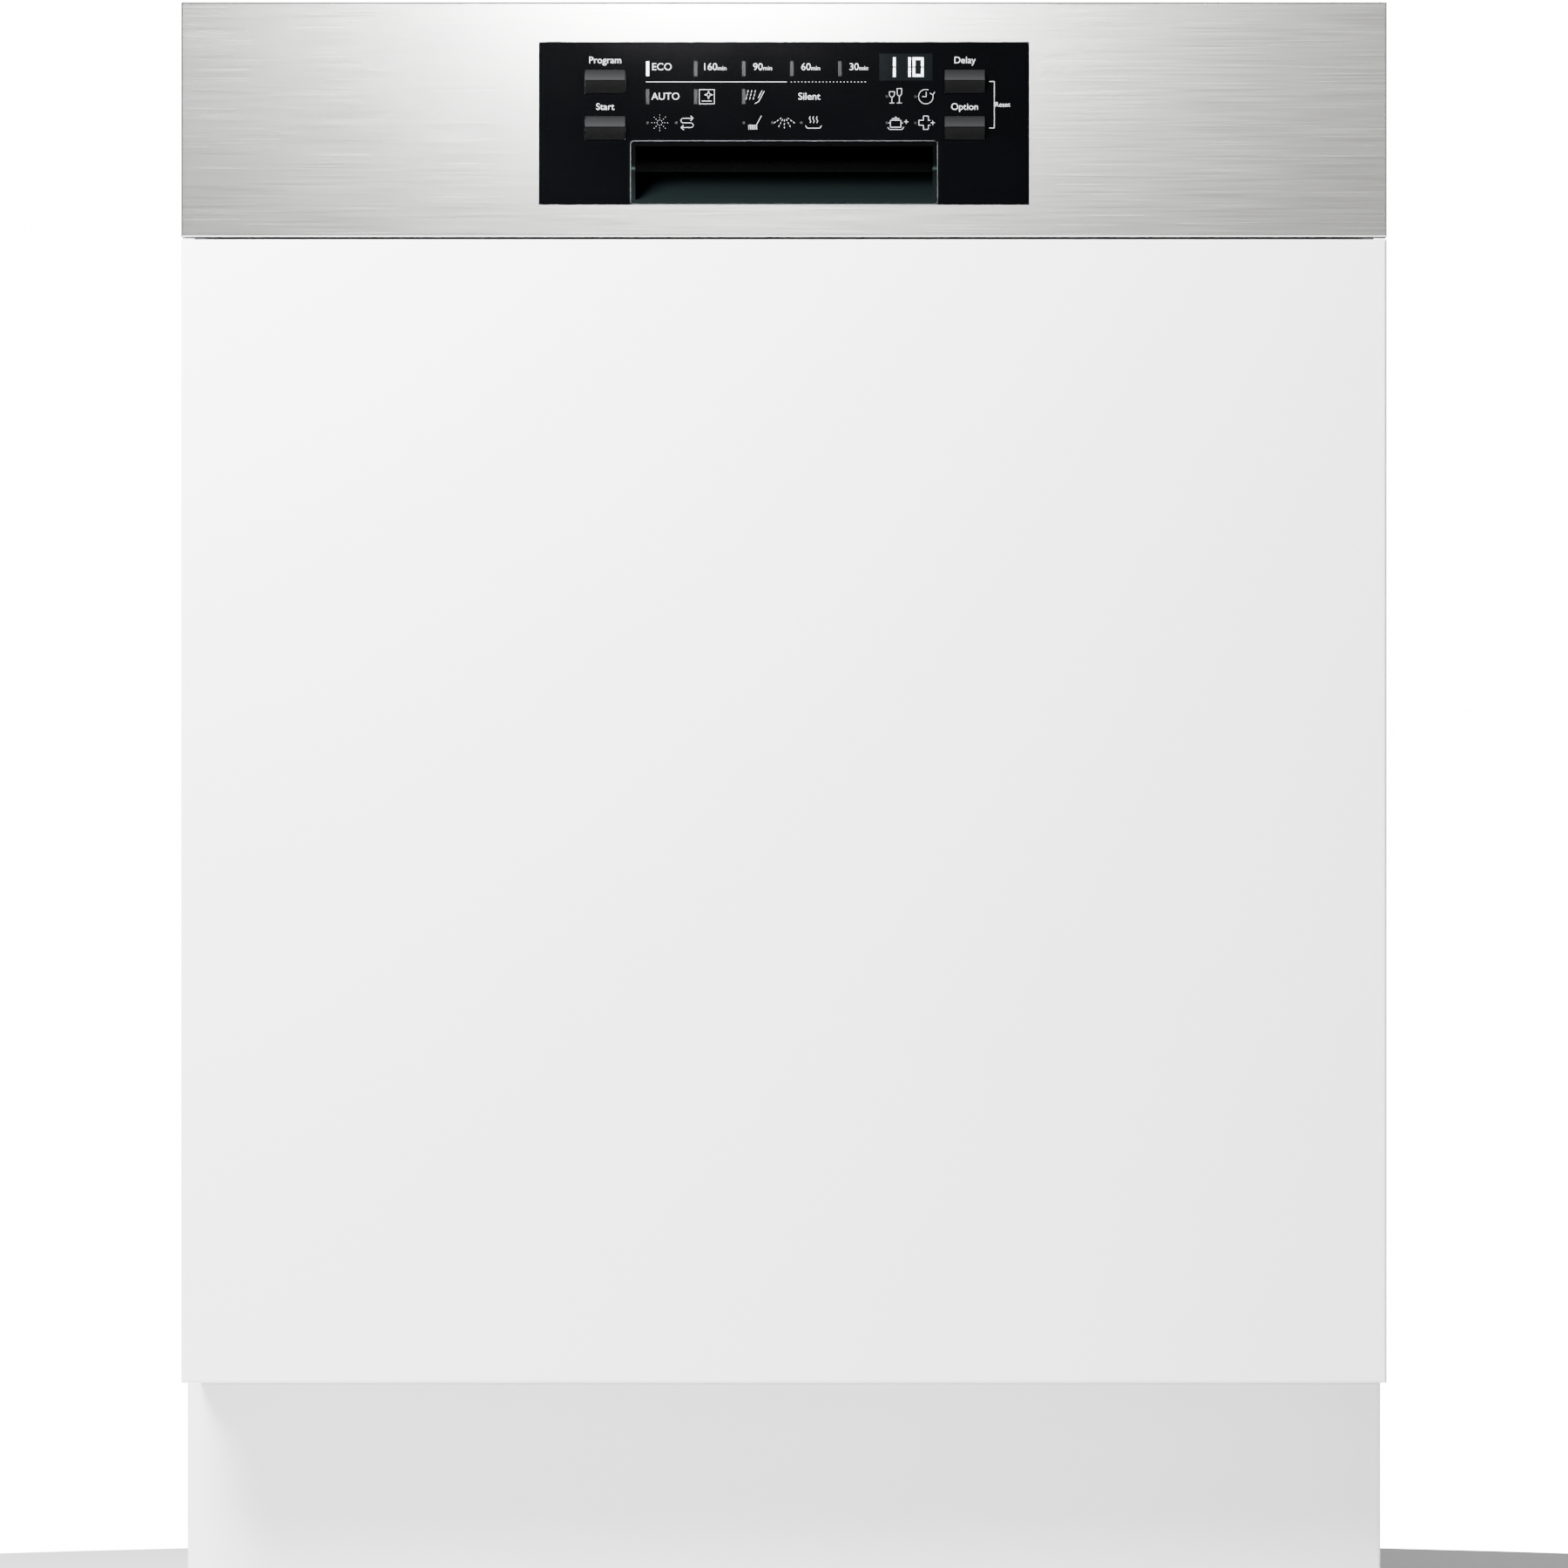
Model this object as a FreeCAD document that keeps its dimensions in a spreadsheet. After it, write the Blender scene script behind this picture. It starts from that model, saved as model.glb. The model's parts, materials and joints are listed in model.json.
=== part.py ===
"""Built-in dishwasher, 60 cm class, with a part-integrated front.

A stainless-steel tub stands on a plastic base tray with three height-adjustable feet. The door hangs on two
hinge arms at the base and carries a furniture panel, a brushed fascia with the controls and a grip pocket.
Two wire racks, two spray arms, the filters, the pumps and the door balance springs fill the inside.

Row frame, millimetres: +Z up, the front faces -Y, +X is to the right of a person who faces the door. The
origin is on the floor, in the middle of the outline.
"""
import FreeCAD, Part
import math
import os
import re
import Sketcher

doc = FreeCAD.newDocument("dishwasher")

# ---------------------------------------------------------------- driving dimensions
SIZES = {
    # whole machine
    "width": 596, "depth": 575, "height": 818, "case_inset": 3,
    # front
    "fascia_height": 116, "fascia_depth": 19, "fascia_sheet": 1.2, "fascia_round": 1.2,
    "panel_gap": 1, "panel_inset": 1.5, "panel_thick": 18, "panel_round": 1.5, "kick_height": 135.5,
    "kick_recess": 60.5, "kick_thick": 16, "kick_top": 133, "kick_floor_gap": 3,
    # controls
    "insert_width": 242, "insert_height": 80.2, "insert_drop": 19.8, "insert_thick": 3,
    "insert_recess": 0.2, "insert_round": 2.2, "insert_gap": 0.2,
    "button_wide": 19.8, "button_tall": 11.6, "button_proud": 2, "button_deep": 10, "button_wedge": 1.7,
    "button_gap": 0.3, "button_travel": 1.5, "button_left": 88.4, "button_right": 89.3,
    "button_upper_drop": 39.2, "button_lower_drop": 62.2,
    "display_wide": 26.2, "display_tall": 13.3, "display_x": 60.2, "display_drop": 32.1,
    "display_thick": 1.5,
    "lens_proud": 0.15, "lens_wide": 1.7, "lens_tall": 7.3, "lens_dot": 1.4,
    "lens_left": -67.4, "lens_pitch": 23.75, "lens_row_one": 32.9, "lens_row_two": 46.7,
    "lens_row_three": 59.6, "lens_right": 50.8, "lens_right_pitch": 14.2,
    "pocket_wide": 152, "pocket_tall": 31.6, "pocket_deep": 31, "pocket_wall": 2.5, "pocket_rise": 10,
    "pocket_lip": 4.4, "pocket_slope": 18, "pocket_gap": 0.2,
    "console_wall": 2.4, "board_thick": 1.6, "board_wide": 232, "board_tall": 34,
    "stand_off_high": 10, "stand_off_low": 42, "stand_off_round": 3,
    # door shell
    "door_thick": 38, "door_sheet": 1, "door_inset": 12,
    "door_clearance": 2, "plateau_deep": 14, "plateau_gap": 8, "plateau_low": 206, "plateau_drop": 34,
    "hinge_back": 32.5, "hinge_height": 160, "hinge_drop": 8, "hinge_pin": 5, "hinge_play": 0.05,
    "tail_back": 49, "tail_drop": 38, "tail_pin": 3, "spring_inset": 14,
    "spring_round": 4.5, "spring_lift": 0.6,
    "anchor_back": 90.5, "anchor_low": 34,
    "arm_thick": 2.5, "arm_gap": 1.3, "arm_reach": 140, "arm_width": 16,
    "bracket_thick": 2.5, "bracket_gap": 0.5, "bracket_nose": 11.3,
    # detergent dispenser
    "dispenser_wide": 150, "dispenser_tall": 130, "dispenser_low": 430, "dispenser_proud": 2,
    "dispenser_deep": 27, "dispenser_gap": 0.3, "cup_wide": 68, "cup_tall": 50, "cup_deep": 22,
    "cup_left": 64, "cup_low": 9, "lid_lap": 4, "lid_thick": 2, "lid_gap": 0.2,
    "rinse_x": 45, "rinse_z": 88, "rinse_round": 17, "rinse_thick": 4, "rinse_grip": 4,
    # tub
    "tub_sheet": 1.2, "tub_inset": 23, "tub_drop": 23.2, "tub_floor_top": 187, "tub_rear_gap": 20.7,
    "frame_thick": 8, "frame_inset": 9, "frame_low": 165, "frame_drop": 7, "frame_lap": 5,
    "frame_open_low": 188, "frame_open_drop": 26, "gasket_thick": 5, "gasket_deep": 9.5, "gasket_gap": 0.5,
    "ledge_wide": 40, "ledge_rise": 17, "mat_thick": 10, "mat_gap": 0.8, "mat_low": 208, "mat_front": 18,
    "side_sheet": 1, "side_low": 40, "side_drop": 10, "side_return": 16, "side_front_low": 240,
    "rib_deep": 0.4, "rib_wide": 26, "bracket_tab": 30, "bracket_plate": 1.5, "bracket_hole": 2.25,
    "tab_inset": 58, "strike_wide": 26, "strike_thick": 3, "strike_reach": 14, "strike_drop": 13,
    # base
    "base_inset": 26, "base_low": 22, "base_high": 165, "base_wall": 3, "base_rear_inset": 30,
    "base_lip_tall": 14, "base_lip_gap": 2,
    "foot_inset": 50, "foot_front_gap": 122.5, "foot_rear_gap": 65.5, "foot_pad": 20, "foot_pad_thick": 8,
    "foot_spindle": 8, "foot_play": 0.08, "foot_boss": 15, "foot_engage": 78,
    # hydraulics
    "sump_y": -20, "sump_round": 90, "sump_wall": 6, "sump_flange": 98, "sump_flange_thick": 4,
    "sump_low": 110, "sump_ledge": 4, "post_offset": 43, "post_round": 14, "post_top": 218,
    "filter_offset": 38, "filter_round": 36, "filter_low": 122, "filter_play": 0.4, "filter_head": 40,
    "filter_head_thick": 3, "filter_grip_top": 201, "mesh_thick": 2.5,
    "motor_round": 38, "motor_long": 92, "volute_round": 46, "volute_thick": 34, "pump_x": 150,
    "pump_y": 60, "pump_z": 82, "spout_round": 12,
    "drain_round": 26, "drain_long": 78, "drain_x": -150, "drain_y": 10, "drain_z": 64,
    "salt_x": -170, "salt_y": -75, "salt_box": 120, "salt_neck": 27, "salt_neck_gap": 0.5,
    "salt_cap_round": 33, "salt_cap_thick": 8, "salt_cap_grip": 5, "salt_shoulder": 150,
    "inlet_x": -200, "inlet_z": 70, "inlet_thread": 13.2, "inlet_thread_long": 14, "inlet_neck": 11,
    "inlet_body": 40, "outlet_x": 185, "outlet_z": 70, "outlet_wide": 96, "outlet_tall": 46,
    "outlet_thick": 8, "drain_spigot": 9.5, "spigot_spread": 26, "gland_round": 9, "gland_bore": 4,
    "gland_long": 14,
    "duct_half": 18, "duct_deep": 20, "duct_top": 478, "duct_port": 11, "duct_port_z": 458,
    "duct_port_long": 12,
    # spray arms
    "lower_arm_inset": 30, "lower_arm_wide": 40, "lower_arm_tip": 26, "lower_arm_thick": 12,
    "lower_arm_low": 208, "arm_hub": 24, "arm_play": 0.06, "nozzle": 2,
    "upper_arm_inset": 42, "upper_arm_low": 428, "upper_pin": 9, "feed_round": 12, "arm_y": 23,
    # racks
    "rack_inset": 37, "rack_front_gap": 99.5, "rack_rear_gap": 65.5,
    "wire": 4, "wire_thick": 5, "wire_pitch": 32,
    "cross_pitch": 41.6, "rack_edge": 22,
    "lower_floor": 240, "lower_rim": 335, "lower_mid": 288,
    "upper_floor": 476, "upper_rim": 600, "upper_mid": 536,
    "wheel_round": 16, "wheel_thick": 9, "wheel_out": 11.5, "wheel_front_gap": 70, "wheel_rear_gap": 72,
    "wheel_lift": 0.2, "axle_round": 3, "axle_play": 0.05, "axle_head": 2, "axle_head_gap": 0.3,
    "carrier_thick": 5, "carrier_long": 44, "carrier_inset": 5.5, "carrier_drop": 6,
    "tine_tall": 72, "tine_inset": 48, "tine_rows": 95, "tine_fixed": 22, "tine_pitch": 32,
    "tine_rear_gap": 52, "tine_front_gap": 38, "tine_rod": 4, "tine_lift": 3, "tine_play": 0.08,
    "upper_tine_tall": 48, "upper_tine_x": 92,
    "fixed_row_gap": 44, "bearing_wall": 2.2, "bearing_long": 6, "bearing_gap": 8, "spine_over": 16,
    "basket_inset": 73, "basket_wide": 98, "basket_long": 250, "basket_tall": 118, "basket_wall": 2,
    "basket_handle": 40, "basket_bar": 10,
    "rail_high": 18, "rail_z": 566, "rail_outer": 7.5, "rail_mid": 5.5, "rail_gap": 0.5, "rail_lip": 1.5,
    "rail_over": 10,
    "runner_thick": 5, "runner_sheet": 2, "runner_lap": 1, "strap_thick": 2.5,
    "strap_long": 24,
    "strap_inset": 40, "strap_pitch": 150, "lug_tall": 14, "shelf_wide": 92, "shelf_ends": 80,
    "shelf_thick": 5,
    "shelf_z": 548, "shelf_inset": 16, "shelf_back": 3, "shelf_bar": 8,
}

# Sizes that follow others: each is a formula in the sheet, and is used by its alias as the others are.
TIED = {
    "tub_half": "=width/2 - tub_inset",
    "frame_half": "=width/2 - frame_inset",
    "frame_open_half": "=tub_half - frame_lap",
    "base_half": "=width/2 - base_inset",
    "plateau_half": "=frame_open_half - plateau_gap",
    "rack_half": "=tub_half - rack_inset",
    "spring_x": "=width/2 - spring_inset",
    "wheel_x": "=rack_half + wheel_out",
    "foot_x": "=width/2 - foot_inset",
    "shelf_x": "=rack_half - shelf_inset",
    "bracket_spread": "=width/2 - tab_inset",
    "basket_x": "=rack_half - basket_inset",
    "tine_left": "=tine_inset - rack_half",
    "tine_right": "=tine_left + tine_rows",
    "lower_arm_reach": "=rack_half - lower_arm_inset",
    "upper_arm_reach": "=rack_half - upper_arm_inset",
    "frame_high": "=height - frame_drop",
    "side_high": "=height - side_drop",
    "tub_top": "=height - tub_drop",
    "frame_open_high": "=height - frame_open_drop",
    "plateau_high": "=height - plateau_drop",
    "rack_front": "=rack_front_gap - depth/2",
    "rack_rear": "=depth/2 - rack_rear_gap",
    "rail_front": "=rack_front - rail_over",
    "rail_rear": "=rack_rear + rail_over",
    "anchor_y": "=anchor_back - depth/2",
    "foot_front_y": "=foot_front_gap - depth/2",
    "foot_rear_y": "=depth/2 - foot_rear_gap",
    "tine_front": "=rack_front + tine_front_gap",
    "tine_count": "=floor((rack_rear - tine_rear_gap - tine_front)/tine_pitch + 0.001) + 1",
    "shelf_long": "=rack_rear - rack_front - shelf_ends",
    "shelf_y": "=(rack_front + rack_rear)/2 + shelf_back",
    "wheel_front_y": "=rack_front + wheel_front_gap",
    "wheel_rear_y": "=rack_rear - wheel_rear_gap",
}
NAMED = {**SIZES, **TIED}

sheet = doc.addObject("Spreadsheet::Sheet", "Sizes")
for row, (alias, value) in enumerate(NAMED.items(), start=1):
    sheet.set(f"A{row}", alias)
    sheet.set(f"B{row}", str(value))
    sheet.setAlias(f"B{row}", alias)
doc.recompute()

# Planes of the machine that many pieces share, as expressions of the sheet's cells.
HALF = "width/2"
CASE = "(width/2 - case_inset)"
FACE = "(button_proud - depth/2)"
REAR = "depth/2"
PANEL_FRONT = f"({FACE} + panel_inset)"
PANEL_BACK = f"({PANEL_FRONT} + panel_thick)"
DOOR_BACK = f"({PANEL_BACK} + door_thick)"
PLATEAU = f"({DOOR_BACK} + plateau_deep)"
FRAME_FRONT = f"({DOOR_BACK} + door_clearance)"
FRAME_BACK = f"({FRAME_FRONT} + frame_thick)"
HINGE_Y = f"({FACE} + hinge_back)"
DOOR_HALF = "(width/2 - door_inset)"
DOOR_LOW = "(hinge_height - hinge_drop)"
FASCIA_LOW = "(height - fascia_height)"
PANEL_TOP = f"({FASCIA_LOW} - panel_gap)"
INSERT_FRONT = f"({FACE} + insert_recess)"
INSERT_TOP = "(height - insert_drop)"
INSERT_LOW = f"({INSERT_TOP} - insert_height)"
POCKET_TOP = f"({INSERT_LOW} + pocket_tall)"
KICK_FRONT = f"({FACE} + kick_recess)"
BASE_FRONT = f"({KICK_FRONT} + kick_thick)"
BASE_REAR = f"({REAR} - base_rear_inset)"
BASE_TOP = "(base_low + base_wall)"
TUB_OUT = "(tub_half + tub_sheet)"
TUB_REAR = f"({REAR} - tub_rear_gap)"
SHEET_UNDER = "(tub_floor_top - tub_sheet)"
SIDE_IN = f"({CASE} - side_sheet)"
SIDE_REAR = f"({TUB_REAR} + mat_gap + mat_thick + mat_gap + side_sheet)"
BRACKET_IN = f"({DOOR_HALF} + bracket_gap)"
BRACKET_OUT = f"({BRACKET_IN} + bracket_thick)"
ARM_IN = f"({BRACKET_OUT} + arm_gap)"
ARM_OUT = f"({ARM_IN} + arm_thick)"
LEDGE_TOP = "(tub_floor_top + ledge_rise)"
POST_Y = "(sump_y + post_offset)"
FILTER_Y = "(sump_y - filter_offset)"
WHEEL_Z = f"({LEDGE_TOP} + wheel_round + wheel_lift)"


def cell(text):
    """An expression of the sheet's aliases, in the form that setExpression takes."""
    return re.sub(r"[A-Za-z_]+", lambda m: "Sizes." + m[0] if m[0] in NAMED else m[0], str(text))


def num(text):
    """The value of such an expression, in millimetres."""
    return float(sheet.evalExpression(str(text)))


def bind(thing, name, text):
    thing.setExpression(name, cell(text))


def place(thing, x="0", y="0", z="0"):
    for axis, text in (("x", x), ("y", y), ("z", z)):
        bind(thing, f"Placement.Base.{axis}", text)


# ---------------------------------------------------------------- Part primitives
AXES = {"X": ((0, 1, 0), 90), "Y": ((1, 0, 0), -90), "Z": ((0, 0, 1), 0)}
finished = []
TOUCH = 0.01


def block(name, x, y, z):
    """A box between two expressions on each axis."""
    made = doc.addObject("Part::Box", name)
    for side, (low, high) in zip(("Length", "Width", "Height"), (x, y, z)):
        bind(made, side, f"({high}) - ({low})")
    place(made, x[0], y[0], z[0])
    return made


def rod(name, axis, radius, start, length, x="0", y="0", z="0"):
    """A cylinder along an axis: start is where it begins, the other two places are its line's."""
    made = doc.addObject("Part::Cylinder", name)
    bind(made, "Radius", radius)
    bind(made, "Height", length)
    direction, turn = AXES[axis]
    made.Placement = FreeCAD.Placement(
        FreeCAD.Vector(), FreeCAD.Rotation(FreeCAD.Vector(*direction), turn))
    where = {"X": (start, y, z), "Y": (x, start, z), "Z": (x, y, start)}[axis]
    place(made, *where)
    return made


def fuse(name, *pieces):
    made = doc.addObject("Part::MultiFuse", name)
    made.Shapes = list(pieces)
    return made


def cut(name, base, *tools):
    made = doc.addObject("Part::Cut", name)
    made.Base = base
    made.Tool = tools[0] if len(tools) == 1 else fuse(name + "_tools", *tools)
    return made


def group(name, *pieces):
    """Several separate solids as one node."""
    made = doc.addObject("Part::Compound", name)
    made.Links = list(pieces)
    return made


def direct(name, shape):
    made = doc.addObject("Part::Feature", name)
    made.Shape = shape
    return made


def finish(thing, label):
    thing.Label = label
    finished.append(thing)
    return thing


# ---------------------------------------------------------------- PartDesign helpers
def body(label):
    return finish(doc.addObject("PartDesign::Body", label), label)


def sketch(owner, plane, offset):
    """A sketch on one of the body's own origin planes, moved along the plane's normal."""
    made = owner.newObject("Sketcher::SketchObject", f"{owner.Name}_sketch")
    origin = next(f for f in owner.Origin.OriginFeatures if f.Role == plane + "_Plane")
    made.AttachmentSupport = [(origin, "")]
    made.MapMode = "FlatFace"
    bind(made, "AttachmentOffset.Base.z", offset)
    return made


def locate(made, geometry, point, u, v):
    """Ties a sketch point to two expressions, measured from the sketch's origin."""
    for kind, text, axis in (("DistanceX", u, -2), ("DistanceY", v, -1)):
        value = num(text)
        if abs(value) < 1e-9:
            made.addConstraint(Sketcher.Constraint("PointOnObject", geometry, point, axis))
        else:
            k = made.addConstraint(Sketcher.Constraint(kind, -1, 1, geometry, point, value))
            bind(made, f"Constraints[{k}]", text)


def add_loop(made, corners):
    """A closed chain of lines through corners given as pairs of expressions."""
    at = [FreeCAD.Vector(num(u), num(v), 0) for u, v in corners]
    first, count = made.GeometryCount, len(at)
    for i in range(count):
        made.addGeometry(Part.LineSegment(at[i], at[(i + 1) % count]), False)
    for i in range(count):
        made.addConstraint(Sketcher.Constraint("Coincident", first + i, 2, first + (i + 1) % count, 1))
    for i, (u, v) in enumerate(corners):
        locate(made, first + i, 1, u, v)


def add_circle(made, u, v, radius):
    circle = Part.Circle(FreeCAD.Vector(num(u), num(v), 0), FreeCAD.Vector(0, 0, 1), num(radius))
    i = made.addGeometry(circle, False)
    k = made.addConstraint(Sketcher.Constraint("Radius", i, num(radius)))
    bind(made, f"Constraints[{k}]", radius)
    locate(made, i, 3, u, v)


def rectangle(u, v):
    return [(u[0], v[0]), (u[1], v[0]), (u[1], v[1]), (u[0], v[1])]


def extrude(owner, kind, plane, low, high, loops=(), circles=()):
    """Pads or pockets loops and circles between two expressions along the normal of the plane.

    The XZ plane's normal is -Y, so there the sketch goes to the far or the near face accordingly."""
    start = {("Pad", "XZ"): f"-({high})", ("Pocket", "XZ"): f"-({low})",
             ("Pad", "XY"): low, ("Pad", "YZ"): low, ("Pocket", "XY"): high,
             ("Pocket", "YZ"): high}[kind, plane]
    made = sketch(owner, plane, start)
    for loop in loops:
        add_loop(made, loop)
    for u, v, radius in circles:
        add_circle(made, u, v, radius)
    feature = owner.newObject("PartDesign::" + kind, f"{owner.Name}_{kind}")
    feature.Profile = made
    bind(feature, "Length", f"({high}) - ({low})")
    doc.recompute()
    return feature


def turn(owner, corners, x="0", y="0"):
    """A body of revolution about a vertical line: corners are pairs of radius and height."""
    made = sketch(owner, "XZ", f"-({y})")
    bind(made, "AttachmentOffset.Base.x", x)
    add_loop(made, corners)
    feature = owner.newObject("PartDesign::Revolution", f"{owner.Name}_turn")
    feature.Profile = made
    feature.ReferenceAxis = (made, ["V_Axis"])
    feature.Angle = 360
    doc.recompute()
    return feature


def round_edges(owner, radius, wanted):
    """Fillets the edges of the body's last feature that wanted says yes to."""
    tip = owner.Tip
    names = [f"Edge{i}" for i, e in enumerate(tip.Shape.Edges, start=1) if wanted(e)]
    feature = owner.newObject("PartDesign::Fillet", f"{owner.Name}_round")
    feature.Base = (tip, names)
    bind(feature, "Radius", radius)
    doc.recompute()
    return feature


def at_y(text):
    """Says whether an edge lies in the plane of that Y."""
    value = num(text)
    return lambda e: abs(e.BoundBox.YMin - value) < TOUCH and abs(e.BoundBox.YMax - value) < TOUCH


def along(axis):
    """Says whether an edge is a straight one along that axis."""
    def wanted(e):
        size = {"X": e.BoundBox.XLength, "Y": e.BoundBox.YLength, "Z": e.BoundBox.ZLength}
        return size.pop(axis) > 10*TOUCH and all(s < TOUCH for s in size.values())
    return wanted


def span(half):
    return (f"-({half})", half)


def mirrored(name, source):
    """The same shape on the other side of the middle plane."""
    made = doc.addObject("Part::Mirroring", name)
    made.Source = source
    made.Normal = (1, 0, 0)
    return made


# ---------------------------------------------------------------- base and feet
FEET = {"front_foot_left": ("-foot_x", "foot_front_y"), "front_foot_right": ("foot_x", "foot_front_y"),
        "rear_foot": ("0", "foot_rear_y")}
INLET_BODY_BACK = f"({BASE_REAR} - base_wall)"
OUTLET_LOW = "(outlet_z - outlet_tall/2)"

# The tray's plates and bosses meet face to face, so the room between them stays open.
bosses = []
boss_solids = []
for label, (x, y) in FEET.items():
    bosses.append(rod(label + "_boss", "Z", "foot_boss", "base_low", "foot_engage - base_low", x=x, y=y))
    bore = rod(label + "_bore", "Z", "foot_spindle + foot_play", "base_low", "foot_engage - base_low", x=x,
               y=y)
    boss_solids.append(cut(label + "_sleeve", bosses[-1], bore))
tray_plate = block("tray_plate", span("base_half"), (BASE_FRONT, BASE_REAR), ("base_low", BASE_TOP))
tray_floor = cut("tray_floor", tray_plate, *bosses)
tray_front = block("tray_front", span("base_half"), (BASE_FRONT, f"{BASE_FRONT} + base_wall"),
                   (BASE_TOP, "base_high"))
tray_lip = block("tray_lip", span("base_half"), (f"{FRAME_FRONT} + base_lip_gap", BASE_FRONT),
                 ("base_high - base_lip_tall", "base_high"))
tray_side = block("tray_side", ("base_half - base_wall", "base_half"),
                  (f"{BASE_FRONT} + base_wall", f"{BASE_REAR} - base_wall"), (BASE_TOP, "base_high"))
tray_lug = block("tray_lug", ("base_half", "spring_x + spring_round"), ("anchor_y - 6", "anchor_y + 6"),
                 ("base_low", "anchor_low"))
rear_plate = block("rear_plate", span("base_half"), (f"{BASE_REAR} - base_wall", BASE_REAR),
                   (BASE_TOP, "base_high"))
rear_holes = [rod(name, "Y", radius, f"{BASE_REAR} - base_wall", "base_wall", x=x, z=z)
              for name, x, z, radius in (
                  ("inlet_hole", "inlet_x", "inlet_z", "inlet_neck"),
                  ("drain_hole", "outlet_x + spigot_spread", "outlet_z", "drain_spigot"),
                  ("cable_hole", "outlet_x - spigot_spread", "outlet_z", "gland_bore"))]
tray_rear = cut("tray_rear", rear_plate, *rear_holes)
finish(group("tray", tray_floor, tray_front, tray_lip, tray_side, mirrored("tray_side_left", tray_side),
             tray_lug, mirrored("tray_lug_left", tray_lug), tray_rear, *boss_solids), "base_tray")

for label, (x, y) in FEET.items():
    foot = body(label)
    turn(foot, [("0", "0"), ("foot_pad - 2", "0"), ("foot_pad", "2"), ("foot_pad", "foot_pad_thick - 2"),
                ("foot_spindle", "foot_pad_thick + 4"), ("foot_spindle", "foot_engage - 4"),
                ("foot_spindle - 2", "foot_engage - 2"), ("0", "foot_engage - 2")], x, y)

kick = body("plinth")
extrude(kick, "Pad", "XY", "kick_floor_gap", "kick_top", [rectangle(span(HALF), (KICK_FRONT, BASE_FRONT))])
round_edges(kick, "panel_round", at_y(KICK_FRONT))

# ---------------------------------------------------------------- tub
U_OUT, U_IN = TUB_OUT, "tub_half"
tub = body("tub_wrapper")
extrude(tub, "Pad", "XZ", FRAME_BACK, f"{TUB_REAR} - tub_sheet",
        [[(f"-{U_OUT}", SHEET_UNDER), (f"-{U_IN}", SHEET_UNDER), (f"-{U_IN}", "tub_top"), (U_IN, "tub_top"),
          (U_IN, SHEET_UNDER), (U_OUT, SHEET_UNDER), (U_OUT, "tub_top + tub_sheet"),
          (f"-{U_OUT}", "tub_top + tub_sheet")]])

rear_wall = body("tub_rear_wall")
extrude(rear_wall, "Pad", "XZ", f"{TUB_REAR} - tub_sheet", TUB_REAR,
        [rectangle(span(U_OUT), (SHEET_UNDER, "tub_top + tub_sheet"))])

LEDGE_IN = "(tub_half - ledge_wide)"
floor = body("tub_floor")
extrude(floor, "Pad", "XZ", FRAME_BACK, f"{TUB_REAR} - tub_sheet",
        [[(f"-{LEDGE_IN} - tub_sheet", SHEET_UNDER), (f"{LEDGE_IN} + tub_sheet", SHEET_UNDER),
          (f"{LEDGE_IN} + tub_sheet", f"{LEDGE_TOP} - tub_sheet"), ("tub_half", f"{LEDGE_TOP} - tub_sheet"),
          ("tub_half", LEDGE_TOP), (LEDGE_IN, LEDGE_TOP), (LEDGE_IN, "tub_floor_top"),
          (f"-{LEDGE_IN}", "tub_floor_top"), (f"-{LEDGE_IN}", LEDGE_TOP), ("-tub_half", LEDGE_TOP),
          ("-tub_half", f"{LEDGE_TOP} - tub_sheet"),
          (f"-{LEDGE_IN} - tub_sheet", f"{LEDGE_TOP} - tub_sheet")]])
extrude(floor, "Pocket", "XY", f"{SHEET_UNDER} - 1", "tub_floor_top + 1",
        circles=[("0", "sump_y", "sump_round"), ("salt_x", "salt_y", "salt_neck + salt_neck_gap")])

frame = body("tub_front_frame")
extrude(frame, "Pad", "XZ", FRAME_FRONT, FRAME_BACK,
        [rectangle(span("frame_half"), ("frame_low", "frame_high")),
         rectangle(span("frame_open_half"), ("frame_open_low", "frame_open_high"))])

GASKET_FRONT = f"({DOOR_BACK} + gasket_gap)"
gasket = body("door_gasket")
extrude(gasket, "Pad", "XZ", GASKET_FRONT, f"{GASKET_FRONT} + gasket_deep",
        [rectangle(span("frame_open_half"), ("frame_open_low", "frame_open_high")),
         rectangle(span("frame_open_half - gasket_thick"),
                   ("frame_open_low + gasket_thick", "frame_open_high - gasket_thick"))])

MAT_FRONT = f"({FRAME_BACK} + mat_front)"
MAT_REAR = f"({TUB_REAR} + mat_thick)"
MAT_HIGH = "(tub_top + tub_sheet)"
side_mat = block("side_mat", (TUB_OUT, f"{TUB_OUT} + mat_thick"), (MAT_FRONT, TUB_REAR),
                 ("mat_low", MAT_HIGH))
top_mat = block("top_mat", span(TUB_OUT), (MAT_FRONT, TUB_REAR), (MAT_HIGH, f"{MAT_HIGH} + mat_thick"))
rear_mat = block("rear_mat", span(TUB_OUT), (TUB_REAR, MAT_REAR), ("mat_low", MAT_HIGH))
finish(group("mats", side_mat, mirrored("side_mat_left", side_mat), top_mat, rear_mat), "insulation_mats")

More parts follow.
